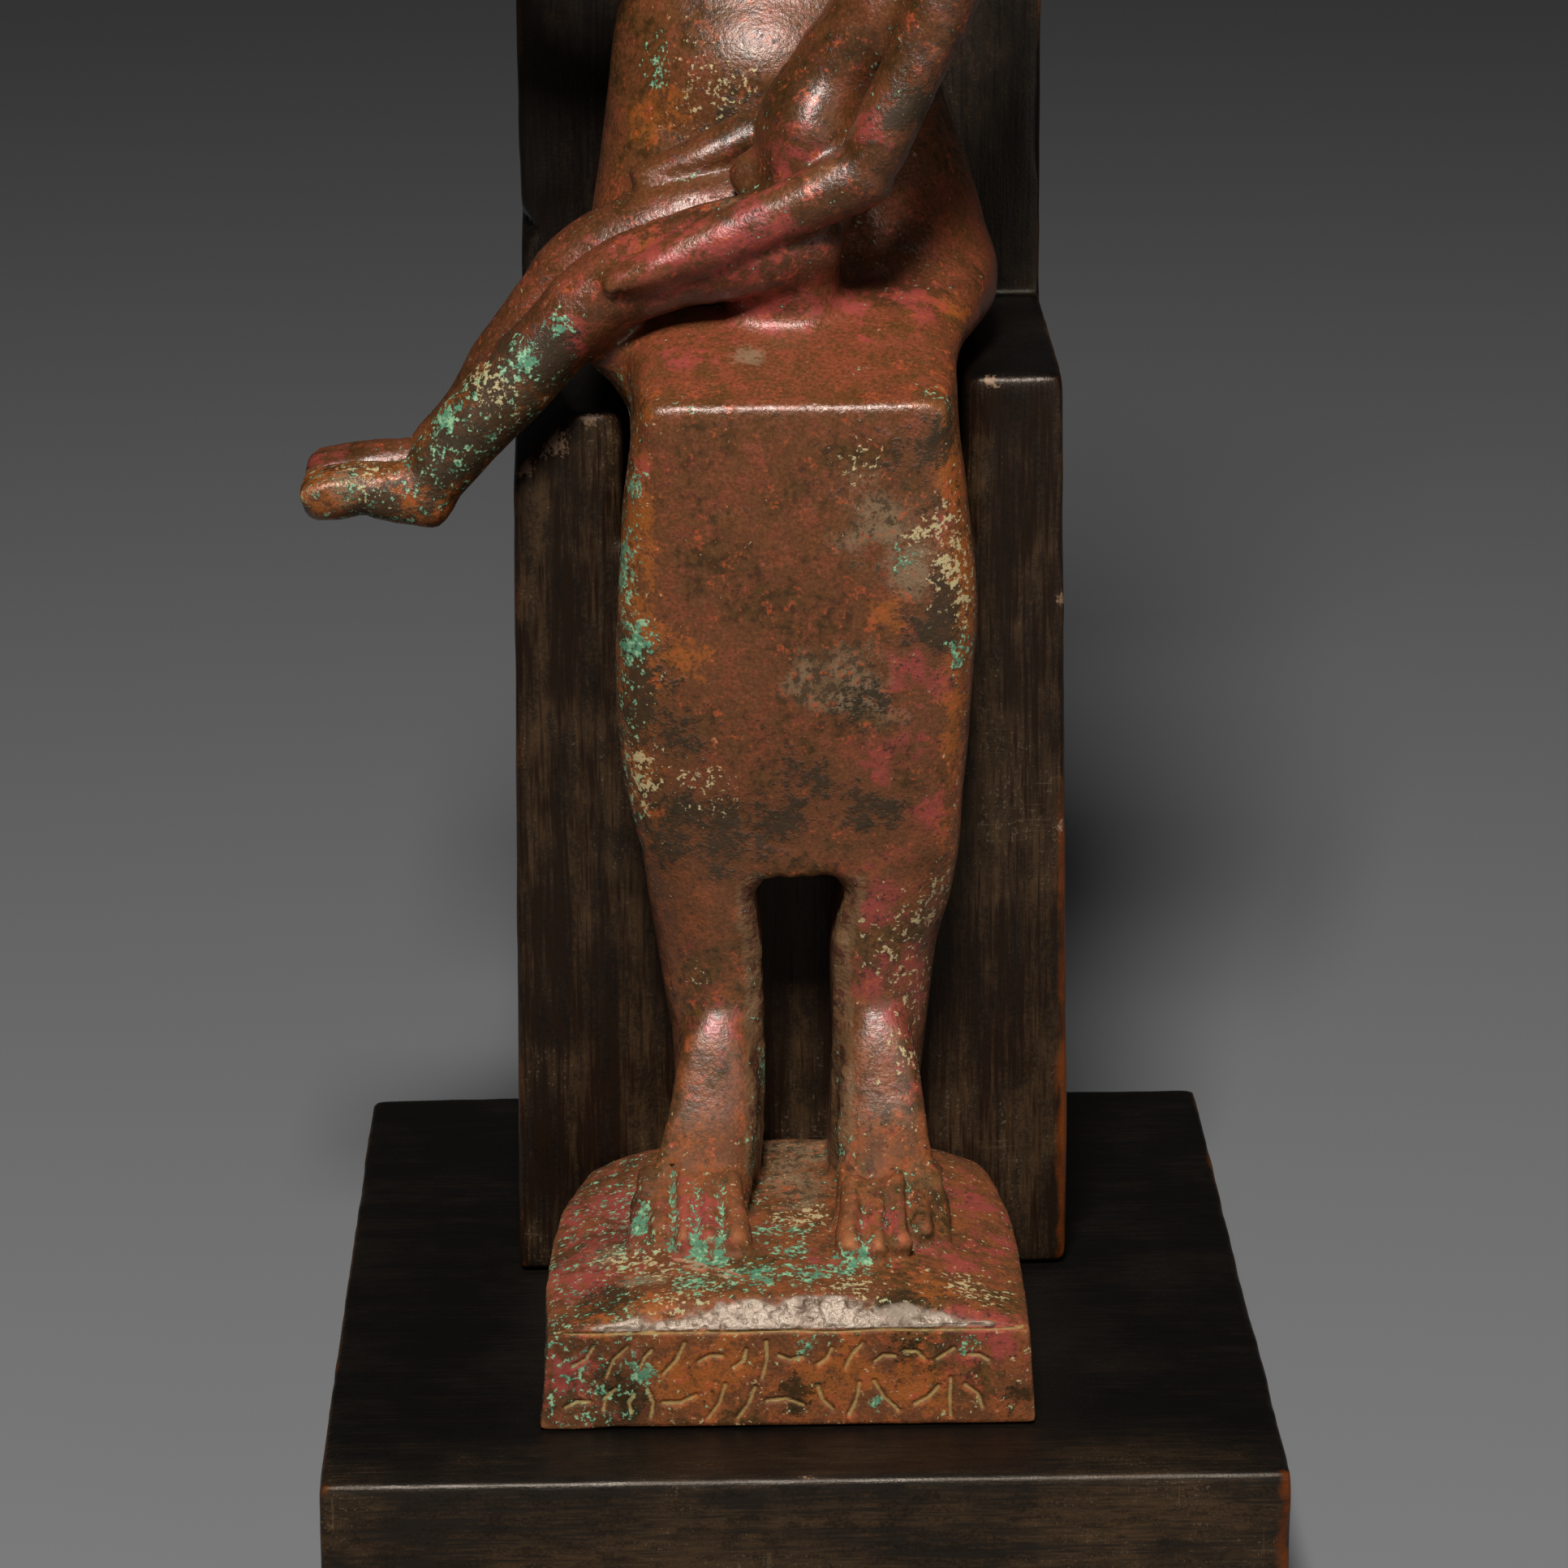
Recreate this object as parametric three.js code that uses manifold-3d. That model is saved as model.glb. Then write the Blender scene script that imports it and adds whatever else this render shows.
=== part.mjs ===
// A seated goddess nursing a child across her lap, cast in bronze in one piece with the footrest
// under her feet. She sits in a notch in a wooden throne that stands on a wooden base.
// Millimetres, +Z up, +X to the viewer's right, the front faces -Y. The origin is the centre of
// the base's underside. Everything above the base is drawn from the base's top, at z = 0.
import * as THREE from "three";
import { mergeVertices } from "three/addons/utils/BufferGeometryUtils.js";
import Module from "manifold-3d";

const wasm = await Module();
wasm.setup();

// Wooden base and throne
const BASE = { width: 78, depth: 89.6, height: 15, bevel: 0.6 };
const THRONE = { width: 48, depth: 40, seatTop: 79.7, backThick: 8.2, backTop: 132, taper: 1, edge: 0.5 };
const BACKREST_Y = THRONE.depth - THRONE.backThick;
const NOTCH = { half: 14.1, centre: 0.35, floor: 66, lip: 1.1 };
const LEFT_ARM = { frontTop: 76.7, chamferAcross: 5.2, chamferDown: 5.6, chamferBack: 16 };

// Footrest cast with the figure: a block with an arched top, narrower and higher at the back
const REST = { front: -34.7, back: -0.4, rise: 2.6, batter: 0.7 };
const REST_FRONT = { centre: -1.2, half: 20.3, edge: 8.4 };
const REST_BACK = { centre: -0.6, half: 17.3, edge: 9.8 };

// The goddess's levels above the base, and her proportions
const UNIT = 13;
const FIGURE_X = 0.4;
const FEET_X = -0.7;
const SOLE = 11;
const HEM = 40;
const KNEE = 80.9;
const SEAT = 66.3;
const WOOD_GAP = 0.5;
const HIP = KNEE + 3;
const WAIST = KNEE + 2.95 * UNIT;
const SHOULDER = KNEE + 5.6 * UNIT;
const CHIN = KNEE + 6.45 * UNIT;
const CROWN = CHIN + 2.6 * UNIT;
const KNEE_FRONT = -15.3;
const HIP_HALF = 17.4;
const HEAD = { x: -0.5, y: 18.2, half: 9.3, front: 8, back: 29.4, wig: 14.2 };

// Headdress: a low round crown that carries cow horns round a sun disc
const MODIUS = { bottom: CROWN - 4, top: CROWN + 4.5, low: 8.4, high: 9.2 };
const DISC = { radius: 11.5, thick: 3.2, z: MODIUS.top + 11 };
const HORN = { root: 2.2, tip: 0.8, spread: 14.4, height: 37 };

// The child sits sideways, facing -X
const CHILD = { y: 0.4, hip: 0.6, near: -3.9, far: 4.4, farRise: 0.8 };

const BRONZE = new THREE.MeshStandardMaterial({ color: 0x7a3a24, roughness: 0.42, metalness: 0.75 });
const WOOD = new THREE.MeshStandardMaterial({ color: 0x1d1713, roughness: 0.5, metalness: 0 });

const v3 = (p) => new THREE.Vector3(p[0], p[1], p[2]);

// A BufferGeometry as a manifold-3d solid, with only its positions kept.
function solidOf(geometry) {
  const bare = geometry.index ? geometry.toNonIndexed() : geometry.clone();
  bare.deleteAttribute("normal");
  bare.deleteAttribute("uv");
  const merged = mergeVertices(bare, 1e-4);
  return new wasm.Manifold(
    new wasm.Mesh({
      numProp: 3,
      vertProperties: new Float32Array(merged.attributes.position.array),
      triVerts: new Uint32Array(merged.index.array),
    }),
  );
}

function geometryOf(solid) {
  const mesh = solid.getMesh();
  const geometry = new THREE.BufferGeometry();
  geometry.setAttribute("position", new THREE.BufferAttribute(mesh.vertProperties, 3));
  geometry.setIndex(new THREE.BufferAttribute(mesh.triVerts, 1));
  geometry.computeVertexNormals();
  return geometry;
}

const unite = (solids) => solids.reduce((sum, next) => sum.add(next));

// A closed solid through rings of equal length, with a point at each end.
function loft(rings, startTip, endTip) {
  const count = rings[0].length;
  const points = [startTip, ...rings.flat(), endTip];
  const last = points.length - 1;
  const faces = [];
  for (let i = 0; i < count; i++) {
    const j = (i + 1) % count;
    faces.push([0, 1 + j, 1 + i]);
    faces.push([last, last - count + i, last - count + j]);
    for (let r = 0; r < rings.length - 1; r++) {
      const low = 1 + r * count;
      const high = low + count;
      faces.push([low + i, low + j, high + j], [low + i, high + j, high + i]);
    }
  }
  const volume = faces.reduce(
    (sum, [a, b, c]) => sum + points[a].dot(points[b].clone().cross(points[c])),
    0,
  );
  const order = volume < 0 ? [0, 2, 1] : [0, 1, 2];
  const geometry = new THREE.BufferGeometry().setFromPoints(
    faces.flatMap((face) => order.map((corner) => points[face[corner]])),
  );
  return solidOf(geometry);
}

// A closed superellipse: round at power 2, squarer above it.
function ring(centre, across, up, power, count) {
  return Array.from({ length: count }, (_, i) => {
    const angle = (2 * Math.PI * (i + 0.5)) / count;
    const bend = (value) => Math.sign(value) * Math.abs(value) ** (2 / power);
    return centre
      .clone()
      .addScaledVector(across, bend(Math.cos(angle)))
      .addScaledVector(up, bend(Math.sin(angle)));
  });
}

const middle = (points) =>
  points.reduce((sum, p) => sum.add(p), new THREE.Vector3()).divideScalar(points.length);

// Level sections, each [z, centre x, half width, front y, back y, power].
function stack(sections, count = 20) {
  const rings = sections.map(([z, x, half, front, back, power]) =>
    ring(
      new THREE.Vector3(x, (front + back) / 2, z),
      new THREE.Vector3(half, 0, 0),
      new THREE.Vector3(0, (back - front) / 2, 0),
      power,
      count,
    ),
  );
  return loft(rings, middle(rings[0]), middle(rings.at(-1)));
}

// Upright sections across the depth, each [y, centre x, half width, bottom z, top z, power].
function shelf(sections, count = 20) {
  const rings = sections.map(([y, x, half, bottom, top, power]) =>
    ring(
      new THREE.Vector3(x, y, (bottom + top) / 2),
      new THREE.Vector3(half, 0, 0),
      new THREE.Vector3(0, 0, (top - bottom) / 2),
      power,
      count,
    ),
  );
  return loft(rings, middle(rings[0]), middle(rings.at(-1)));
}

// A limb through [x, y, z, radius along side, radius across it], with rounded ends.
function limb(stations, side = [0, 1, 0], count = 10, steps = stations.length - 1) {
  const path = new THREE.CatmullRomCurve3(stations.map(v3), false, "catmullrom");
  const sideways = v3(side);
  const at = (t, push = 0, shrink = 1) => {
    const place = t * (stations.length - 1);
    const before = Math.min(Math.floor(place), stations.length - 2);
    const [low, high] = [stations[before], stations[before + 1]];
    const radii = [3, 4].map((k) => THREE.MathUtils.lerp(low[k], high[k], place - before) * shrink);
    const along = path.getTangent(t);
    const across = sideways.clone().addScaledVector(along, -sideways.dot(along)).normalize();
    const up = along.clone().cross(across);
    const centre = path.getPoint(t).addScaledVector(along, push * Math.min(...radii) / shrink);
    return ring(centre, across.multiplyScalar(radii[0]), up.multiplyScalar(radii[1]), 2, count);
  };
  const body = Array.from({ length: steps + 1 }, (_, i) => at(i / steps));
  const rings = [at(0, -0.5, 0.8), ...body, at(1, 0.5, 0.8)];
  return loft(rings, middle(at(0, -0.85, 0.8)), middle(at(1, 0.85, 0.8)));
}

function ellipsoid(centre, radii, detail = 12) {
  const geometry = new THREE.SphereGeometry(1, detail, Math.round(detail * 0.7));
  geometry.scale(...radii).translate(...centre);
  return solidOf(geometry);
}

const box = (low, high) => {
  const size = v3(high).sub(v3(low));
  const geometry = new THREE.BoxGeometry(size.x, size.y, size.z);
  geometry.translate(...v3(low).addScaledVector(size, 0.5).toArray());
  return solidOf(geometry);
};

// A slab drawn from above, with all its edges slightly rounded off.
function base() {
  const { width, depth, height, bevel } = BASE;
  const outline = new THREE.Shape();
  outline.moveTo(bevel - width / 2, bevel - depth / 2);
  outline.lineTo(width / 2 - bevel, bevel - depth / 2);
  outline.lineTo(width / 2 - bevel, depth / 2 - bevel);
  outline.lineTo(bevel - width / 2, depth / 2 - bevel);
  outline.closePath();
  const geometry = new THREE.ExtrudeGeometry(outline, {
    depth: height - 2 * bevel,
    bevelEnabled: true,
    bevelThickness: bevel,
    bevelSize: bevel,
    bevelSegments: 2,
  });
  geometry.translate(0, 0, bevel);
  return geometry;
}

// The seat and its back from one block, with a notch for the figure and a cut left front corner.
function throne() {
  const { width, depth, seatTop, backTop, taper, edge } = THRONE;
  const side = new THREE.Shape();
  side.moveTo(edge, 0);
  side.lineTo(depth - edge, 0);
  side.lineTo(depth - edge, backTop - edge);
  side.lineTo(BACKREST_Y + edge, backTop - edge);
  side.lineTo(BACKREST_Y + edge, seatTop - edge);
  side.lineTo(edge, seatTop - edge);
  side.closePath();
  const block = new THREE.ExtrudeGeometry(side, {
    depth: width - 2 * edge,
    bevelEnabled: true,
    bevelThickness: edge,
    bevelSize: edge,
    bevelSegments: 1,
  });
  block.translate(0, 0, edge - width / 2);
  block.applyMatrix4(new THREE.Matrix4().makeBasis(v3([0, 1, 0]), v3([0, 0, 1]), v3([1, 0, 0])));
  const spots = block.getAttribute("position");
  for (let i = 0; i < spots.count; i++) {
    const lean = 1 - (taper / (width / 2)) * Math.min(1, spots.getZ(i) / seatTop);
    spots.setX(i, spots.getX(i) * lean);
    spots.setZ(i, Math.max(0, spots.getZ(i)));
  }
  const notch = box(
    [NOTCH.centre - NOTCH.half, -5, NOTCH.floor],
    [NOTCH.centre + NOTCH.half, BACKREST_Y, seatTop + 5],
  );
  return geometryOf(
    solidOf(block)
      .subtract(notch)
      .subtract(notchLip(1))
      .subtract(notchLip(-1))
      .subtract(leftSlope())
      .subtract(leftCorner()),
  );
}

// The worn edge along the top of one side of the notch.
function notchLip(sign) {
  const wall = NOTCH.centre + sign * NOTCH.half;
  const top = sign > 0 ? THRONE.seatTop : LEFT_ARM.frontTop;
  const shape = new THREE.Shape();
  shape.moveTo(wall - sign * 2, top - NOTCH.lip * 2);
  shape.lineTo(wall, top - NOTCH.lip * 1.4);
  shape.lineTo(wall + sign * NOTCH.lip * 0.4, top - NOTCH.lip * 0.4);
  shape.lineTo(wall + sign * NOTCH.lip * 1.4, top + 0.05);
  shape.lineTo(wall + sign * NOTCH.lip * 1.4, top + 4);
  shape.lineTo(wall - sign * 2, top + 4);
  shape.closePath();
  const geometry = new THREE.ExtrudeGeometry(shape, {
    depth: BACKREST_Y + 5,
    bevelEnabled: false,
  });
  geometry.rotateX(Math.PI / 2).translate(0, BACKREST_Y, 0);
  return solidOf(geometry);
}

// The left arm of the seat was cut down towards the front, to clear the child's legs.
function leftSlope() {
  const shape = new THREE.Shape();
  shape.moveTo(-5, LEFT_ARM.frontTop - 0.5);
  shape.lineTo(BACKREST_Y - 0.5, THRONE.seatTop + 0.02);
  shape.lineTo(BACKREST_Y - 0.5, THRONE.seatTop + 5);
  shape.lineTo(-5, THRONE.seatTop + 5);
  shape.closePath();
  const geometry = new THREE.ExtrudeGeometry(shape, { depth: THRONE.width / 2, bevelEnabled: false });
  geometry.applyMatrix4(
    new THREE.Matrix4().makeBasis(v3([0, 1, 0]), v3([0, 0, 1]), v3([1, 0, 0])),
  );
  geometry.translate(-THRONE.width / 2 - 2, 0, 0);
  return solidOf(geometry);
}

// The front end of that arm has lost its outer corner along a slanting plane.
function leftCorner() {
  const outer = -(THRONE.width / 2 - THRONE.taper);
  const { frontTop, chamferAcross, chamferDown, chamferBack } = LEFT_ARM;
  const across = v3([outer + chamferAcross, 0, frontTop]);
  const down = v3([outer, 0, frontTop - chamferDown]);
  const back = v3([outer, chamferBack, frontTop + 1]);
  const normal = down.clone().sub(across).cross(back.clone().sub(across)).normalize();
  if (normal.z < 0) normal.negate();
  const size = 40;
  const block = new THREE.BoxGeometry(size, size, size);
  block.applyQuaternion(new THREE.Quaternion().setFromUnitVectors(v3([0, 0, 1]), normal));
  block.translate(...across.addScaledVector(normal, size / 2).toArray());
  return solidOf(block);
}

// Sections of the footrest from front to back, each with the arch of the top along its upper edge.
function footrest() {
  const steps = 7;
  const across = 10;
  const lerp = THREE.MathUtils.lerp;
  const middleOf = (y, x) => v3([x, y, REST_FRONT.edge / 2]);
  const rings = Array.from({ length: steps + 1 }, (_, i) => {
    const t = i / steps;
    const y = lerp(REST.front, REST.back, t);
    const centre = lerp(REST_FRONT.centre, REST_BACK.centre, t * t);
    const half = lerp(REST_FRONT.half, REST_BACK.half, t ** 4);
    const edge = lerp(REST_FRONT.edge, REST_BACK.edge, t);
    const power = 2 + 1.2 * t;
    const top = Array.from({ length: across + 1 }, (_, k) => {
      const s = 1 - (2 * k) / across;
      return v3([centre + s * (half - REST.batter), y, edge + REST.rise * (1 - Math.abs(s) ** power)]);
    });
    return [v3([centre - half, y, 0]), v3([centre + half, y, 0]), ...top];
  });
  return loft(rings, middleOf(REST.front, REST_FRONT.centre), middleOf(REST.back, REST_BACK.centre));
}

// One foot with its five long toes, the big toe on the inner side.
function foot(sign) {
  const inner = FEET_X + sign * 3.6;
  const outer = FEET_X + sign * 13.4;
  const x = (share) => THREE.MathUtils.lerp(inner, outer, share);
  const sole = SOLE - 1.2;
  const body = shelf(
    [
      [-1, x(0.42), 2.8, sole, SOLE + 7, 2.4],
      [-4, x(0.42), 3.8, sole, SOLE + 10, 2.6],
      [-10, x(0.42), 4, sole, SOLE + 8.6, 2.4],
      [-13.5, x(0.46), 4.4, sole, SOLE + 4.8, 2.4],
      [-18, x(0.5), 4.9, sole, SOLE + 2.7, 2.6],
      [-23.2, x(0.47), 4.2, sole, SOLE + 1.1, 2.6],
    ],
    12,
  );
  const toes = Array.from({ length: 5 }, (_, i) => {
    const radius = i === 0 ? 1.35 : 1.02 - 0.03 * i;
    const reach = (sign < 0 ? -24.4 : -25.8) + 1.4 * Math.max(0, i - 1);
    const share = 0.12 + 0.195 * i;
    return limb(
      [
        [x(share + 0.02), reach + 8.5, SOLE + 1.6, radius, radius * 1.1],
        [x(share), reach + 3, SOLE + 1, radius, radius * 1.2],
        [x(share - 0.02), reach, SOLE + 0.3, radius, radius],
      ],
      [1, 0, 0],
      6,
    );
  });
  return unite([body, ...toes]);
}

// A lower leg below the web of the dress: flat towards its fellow.
function lowerLeg(sign) {
  const level = (z, centre, outer, inner, front, back) => {
    const half = (outer - inner) / 2;
    return [z, centre + sign * (inner + half), half, front, back, 3];
  };
  return stack(
    [
      level(SOLE, FEET_X, 9.6, 3.4, -10.5, -1),
      level(SOLE + 6, -0.2, 9.9, 3.1, -10.8, -1.6),
      level(SOLE + 12, 0.2, 10.6, 2.9, -11.2, -2.6),
      level(SOLE + 20, 0.3, 11.7, 3, -12.2, -1.6),
      level(HEM - 3, 0.5, 12.8, 3.4, -13, -1.1),
      level(HEM + 3, 0.6, 13.6, 4.2, -13.6, -0.9),
    ],
    12,
  );
}

// The dress over the shins: one flat-fronted panel that swells at the calves, cut square at the knee.
function shins() {
  const x = FIGURE_X;
  return stack(
    [
      [HEM, x + 0.2, 13.2, -13.3, -0.9, 4.6],
      [HEM + 8, x - 0.2, 14.2, -14.3, -0.7, 4.6],
      [HEM + 15, x - 0.2, 14.7, -14.9, -0.6, 4.8],
      [HEM + 22, x, 14.9, -15.3, -0.6, 5],
      [HEM + 31, x, 14.2, -15.6, -0.6, 5],
      [KNEE - 4, x, 13.4, -15.6, -0.6, 6],
      [KNEE - 0.7, x, 12.4, KNEE_FRONT - 0.1, -0.6, 8],
      [KNEE, x, 11.8, KNEE_FRONT + 0.6, -2, 8],
    ],
    24,
  );
}

// The thighs: a slab that rises from the knees to the hips, and fits the throne's notch.
function thighs() {
  const x = FIGURE_X;
  const inNotch = NOTCH.half - WOOD_GAP;
  const core = shelf(
    [
      [KNEE_FRONT + 0.6, x, 11.8, KNEE - 3, KNEE, 8],
      [-8, x, inNotch - 0.2, KNEE - 9, KNEE + 2.9, 6],
      [1, x, inNotch, SEAT, KNEE + 6.3, 6],
      [12, x, inNotch, SEAT, KNEE + 8.5, 5],
      [29, x, inNotch - 1.5, SEAT, KNEE + 7, 4],
    ],
    24,
  );
  const aboveArms = THRONE.seatTop + WOOD_GAP;
  const flare = shelf(
    [
      [-6, x, 13.2, KNEE - 0.6, KNEE + 3, 3],
      [1, x, 14.6, aboveArms, KNEE + 6, 3],
      [8, x, 16.6, aboveArms, KNEE + 8.4, 3],
      [15, x, HIP_HALF, aboveArms, KNEE + 9.6, 2.8],
      [22, x, HIP_HALF, aboveArms, KNEE + 9.6, 2.8],
      [28.5, x, HIP_HALF - 2, aboveArms, KNEE + 8, 2.6],
      [31, x, HIP_HALF - 5, aboveArms + 1, KNEE + 6, 2.4],
    ],
    20,
  );
  return core.add(flare);
}

// From the hips to the neck, leaning a little to the viewer's left at the waist.
function torso() {
  const at = (units) => HIP + units * UNIT;
  const body = stack(
    [
      [HIP - 2.5, 0.4, 15.5, 3, 30, 2.8],
      [HIP, 0.35, HIP_HALF, 2.5, 30.6, 2.6],
      [at(0.4), 0.3, 16.9, 4, 30.4, 2.5],
      [at(0.8), 0, 15.8, 7, 29.8, 2.4],
      [at(1.25), -0.6, 14.4, 9.4, 29.4, 2.4],
      [at(1.7), -0.8, 13.4, 10, 29, 2.3],
      [at(2.2), -0.8, 11.9, 12, 28, 2.3],
      [WAIST, -0.7, 10.9, 14, 27.2, 2.3],
      [at(3.3), -0.6, 11.8, 13.8, 27.2, 2.3],
      [at(4), -0.5, 13.8, 12.4, 28, 2.4],
      [at(4.7), -0.4, 16, 12.2, 28.6, 2.5],
      [SHOULDER - 2, -0.3, 17.6, 13.5, 28, 2.4],
      [SHOULDER + 2.5, -0.4, 15.6, 15.8, 26.5, 2.3],
      [SHOULDER + 6, -0.5, 9, 16.5, 25, 2.2],
      [SHOULDER + 9, -0.5, 5, 16.5, 24, 2],
    ],
    22,
  );
  const breasts = [-1, 1].map((sign) =>
    ellipsoid([HEAD.x + sign * 7, 14.2, at(3.95)], [5.3, 5, 5.4], 12),
  );
  const neck = stack(
    [
      [SHOULDER + 4, HEAD.x, 5.4, 15.8, 25.5, 2],
      [CHIN + 1, HEAD.x, 4.7, 15, 24, 2],
      [CHIN + 6, HEAD.x, 5, 14, 24, 2],
    ],
    12,
  );
  return unite([body, ...breasts, neck]);
}

// Her head with a plain face, under a wig in three parts.
function head() {
  const { x, y, half, front, back, wig } = HEAD;
  const height = CROWN - CHIN;
  const at = (share) => CHIN + share * height;
  const skull = stack(
    [
      [CHIN, x, half * 0.3, front + 1.6, y - 1, 2],
      [at(0.05), x, half * 0.55, front + 0.6, y + 2, 2.1],
      [at(0.13), x, half * 0.76, front + 0.2, y + 4, 2.2],
      [at(0.27), x, half * 0.92, front, y + 6, 2.2],
      [at(0.45), x, half, front + 0.3, y + 6, 2.2],
      [at(0.62), x, half, front + 0.4, y + 6, 2.2],
      [at(0.75), x, half * 0.82, front + 3, y + 4, 2.2],
    ],
    18,
  );
  const nose = limb(
    [
      [x, front + 0.6, at(0.46), 0.8, 0.7],
      [x, front - 0.9, at(0.27), 1.2, 1],
    ],
    [1, 0, 0],
    6,
  );
  const crown = stack(
    [
      [at(0.48), x, wig - 0.2, front + 5, back + 1, 2.2],
      [at(0.58), x, wig, front - 0.7, back + 1.4, 2.2],
      [at(0.74), x, wig - 0.8, front - 0.2, back + 1.2, 2.2],
      [at(0.89), x, wig - 3.4, front + 1.8, back - 1, 2.1],
      [at(0.98), x, wig - 7.6, y - 6, y + 6, 2],
    ],
    20,
  );
  const behind = stack(
    [
      [SHOULDER - 6, x, wig - 3.4, y + 6.5, back + 0.6, 3],
      [SHOULDER + 4, x, wig - 2.2, y + 4, back + 1.2, 3],
      [CHIN, x, wig - 1, y, back + 1.4, 2.8],
      [at(0.54), x, wig - 0.3, y - 2, back + 1, 2.4],
    ],
    16,
  );
  const lappets = [-1, 1].map((sign) =>
    limb(
      [
        [x + sign * (wig - 3.1), y - 3.6, at(0.58), 3.1, 5],
        [x + sign * (wig - 3), y - 3.8, at(0.2), 3.3, 4.6],
        [x + sign * (wig - 4.4), 13, SHOULDER + 4, 4.5, 3.4],
        [x + sign * (wig - 5.6), 11.4, SHOULDER - 9, 4, 2.4],
      ],
      [1, 0, 0],
      10,
      6,
    ),
  );
  const ears = [-1, 1].map((sign) =>
    ellipsoid([x + sign * (half + 1), front + 3.6, at(0.38)], [1.7, 1.4, 3.1], 8),
  );
  const cobra = limb(
    [
      [x, front - 0.4, at(0.58), 0.9, 0.8],
      [x, front - 1.3, at(0.7), 1.5, 0.9],
      [x, front - 1.9, at(0.8), 0.9, 0.9],
    ],
    [1, 0, 0],
    6,
  );
  return unite([skull, nose, crown, behind, ...lappets, ...ears, cobra]);
}

function headdress() {
  const { x, y } = HEAD;
  const modius = new THREE.LatheGeometry(
    [
      new THREE.Vector2(0, MODIUS.bottom),
      new THREE.Vector2(MODIUS.low, MODIUS.bottom),
      new THREE.Vector2(MODIUS.high, MODIUS.top - 0.4),
      new THREE.Vector2(MODIUS.high - 0.4, MODIUS.top),
      new THREE.Vector2(0, MODIUS.top),
    ],
    20,
  );
  modius.rotateX(Math.PI / 2).translate(x, y, 0);
  const disc = new THREE.CylinderGeometry(DISC.radius, DISC.radius, DISC.thick, 28);
  disc.translate(x, y, DISC.z);
  const horns = [-1, 1].map((sign) =>
    limb(
      [
        [x + sign * 2.5, y, MODIUS.top + 0.2, 1.8, HORN.root],
        [x + sign * HORN.spread * 0.66, y, MODIUS.top + 1.6, 1.9, HORN.root],
        [x + sign * HORN.spread * 0.97, y, MODIUS.top + HORN.height * 0.26, 1.7, HORN.root * 0.85],
        [x + sign * HORN.spread, y, MODIUS.top + HORN.height * 0.55, 1.4, HORN.root * 0.65],
        [x + sign * HORN.spread * 0.78, y, MODIUS.top + HORN.height, HORN.tip, HORN.tip],
      ],
      [0, 1, 0],
      8,
      8,
    ),
  );
  return unite([solidOf(modius), solidOf(disc), ...horns]);
}

// Her right hand (viewer's left) brings the breast to the child; her left holds its head.
function arms() {
  const elbow = WAIST - 3.8;
  const right = limb(
    [
      [-13.5, 21, SHOULDER + 0.6, 5, 4.4],
      [-20.6, 20.8, SHOULDER - 3.6, 5.4, 5],
      [-24, 20.6, SHOULDER - 19, 4.4, 4.2],
      [-26.2, 18.6, elbow, 3.7, 3.7],
    ],
    [0, 1, 0],
    10,
    6,
  );
  const rightFore = limb(
    [
      [-26.2, 18.4, elbow, 3.6, 3.7],
      [-16, 9.4, elbow + 6, 3.4, 3.5],
      [-4, 4.8, elbow + 13.6, 2.4, 2.3],
    ],
    [0, 1, 0],
    10,
    4,
  );
  const rightHand = limb(
    [
      [-4.6, 5, elbow + 13.2, 1.7, 2.3],
      [0.5, 4.8, elbow + 16, 1.5, 3],
      [5.5, 5.4, elbow + 18, 1.2, 2.7],
      [8.6, 6.6, elbow + 18.6, 0.9, 2],
    ],
    [0, 1, 0],
    10,
  );
  const left = limb(
    [
      [12.5, 21, SHOULDER + 0.6, 5, 4.4],
      [19.8, 21, SHOULDER - 3.6, 5.4, 5],
      [24.4, 22, SHOULDER - 19, 4.4, 4.2],
      [27.4, 23.6, elbow + 2.6, 3.7, 3.7],
    ],
    [0, 1, 0],
    10,
    6,
  );
  const leftFore = limb(
    [
      [27.4, 23.6, elbow + 2.6, 3.7, 3.6],
      [26.8, 13.5, elbow + 1.4, 3.4, 3.2],
      [24.6, 5, elbow + 1.4, 2.4, 2.3],
    ],
    [1, 0, 0],
    10,
    4,
  );
  const leftHand = limb(
    [
      [24.8, 5.6, elbow + 1.4, 2.3, 1.8],
      [22.4, 0.4, elbow + 2, 3, 1.6],
      [20.6, -4.2, elbow + 2.6, 2.6, 1.3],
      [19, -7.6, elbow + 3.4, 1.8, 0.9],
    ],
    [1, 0, 0.6],
    10,
  );
  return unite([right, rightFore, rightHand, left, leftFore, leftHand]);
}

// One of the child's legs, over the edge of her lap, with its foot held level.
function childLeg(y, rise) {
  const z = KNEE + rise;
  const leg = limb(
    [
      [CHILD.hip + 0.2, y, z + 12, 4, 4],
      [-7, y, z + 9.8, 4, 4],
      [-16, y, z + 6.6, 3.8, 3.7],
      [-22.2, y, z, 3.7, 3.3],
      [-26.4, y, z - 4.9, 3.4, 2.9],
      [-29.4, y, z - 8.4, 3.1, 2.8],
    ],
    [0, 1, 0],
    10,
    8,
  );
  const foot = limb(
    [
      [-29.2, y, z - 10.6, 2.8, 2.6],
      [-32.6, y, z - 10, 3.1, 2.7],
      [-36.6, y, z - 9.9, 3.4, 2.2],
      [-39.4, y, z - 10, 3.4, 1.7],
    ],
    [0, 1, 0],
    10,
  );
  return leg.add(foot);
}

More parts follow.
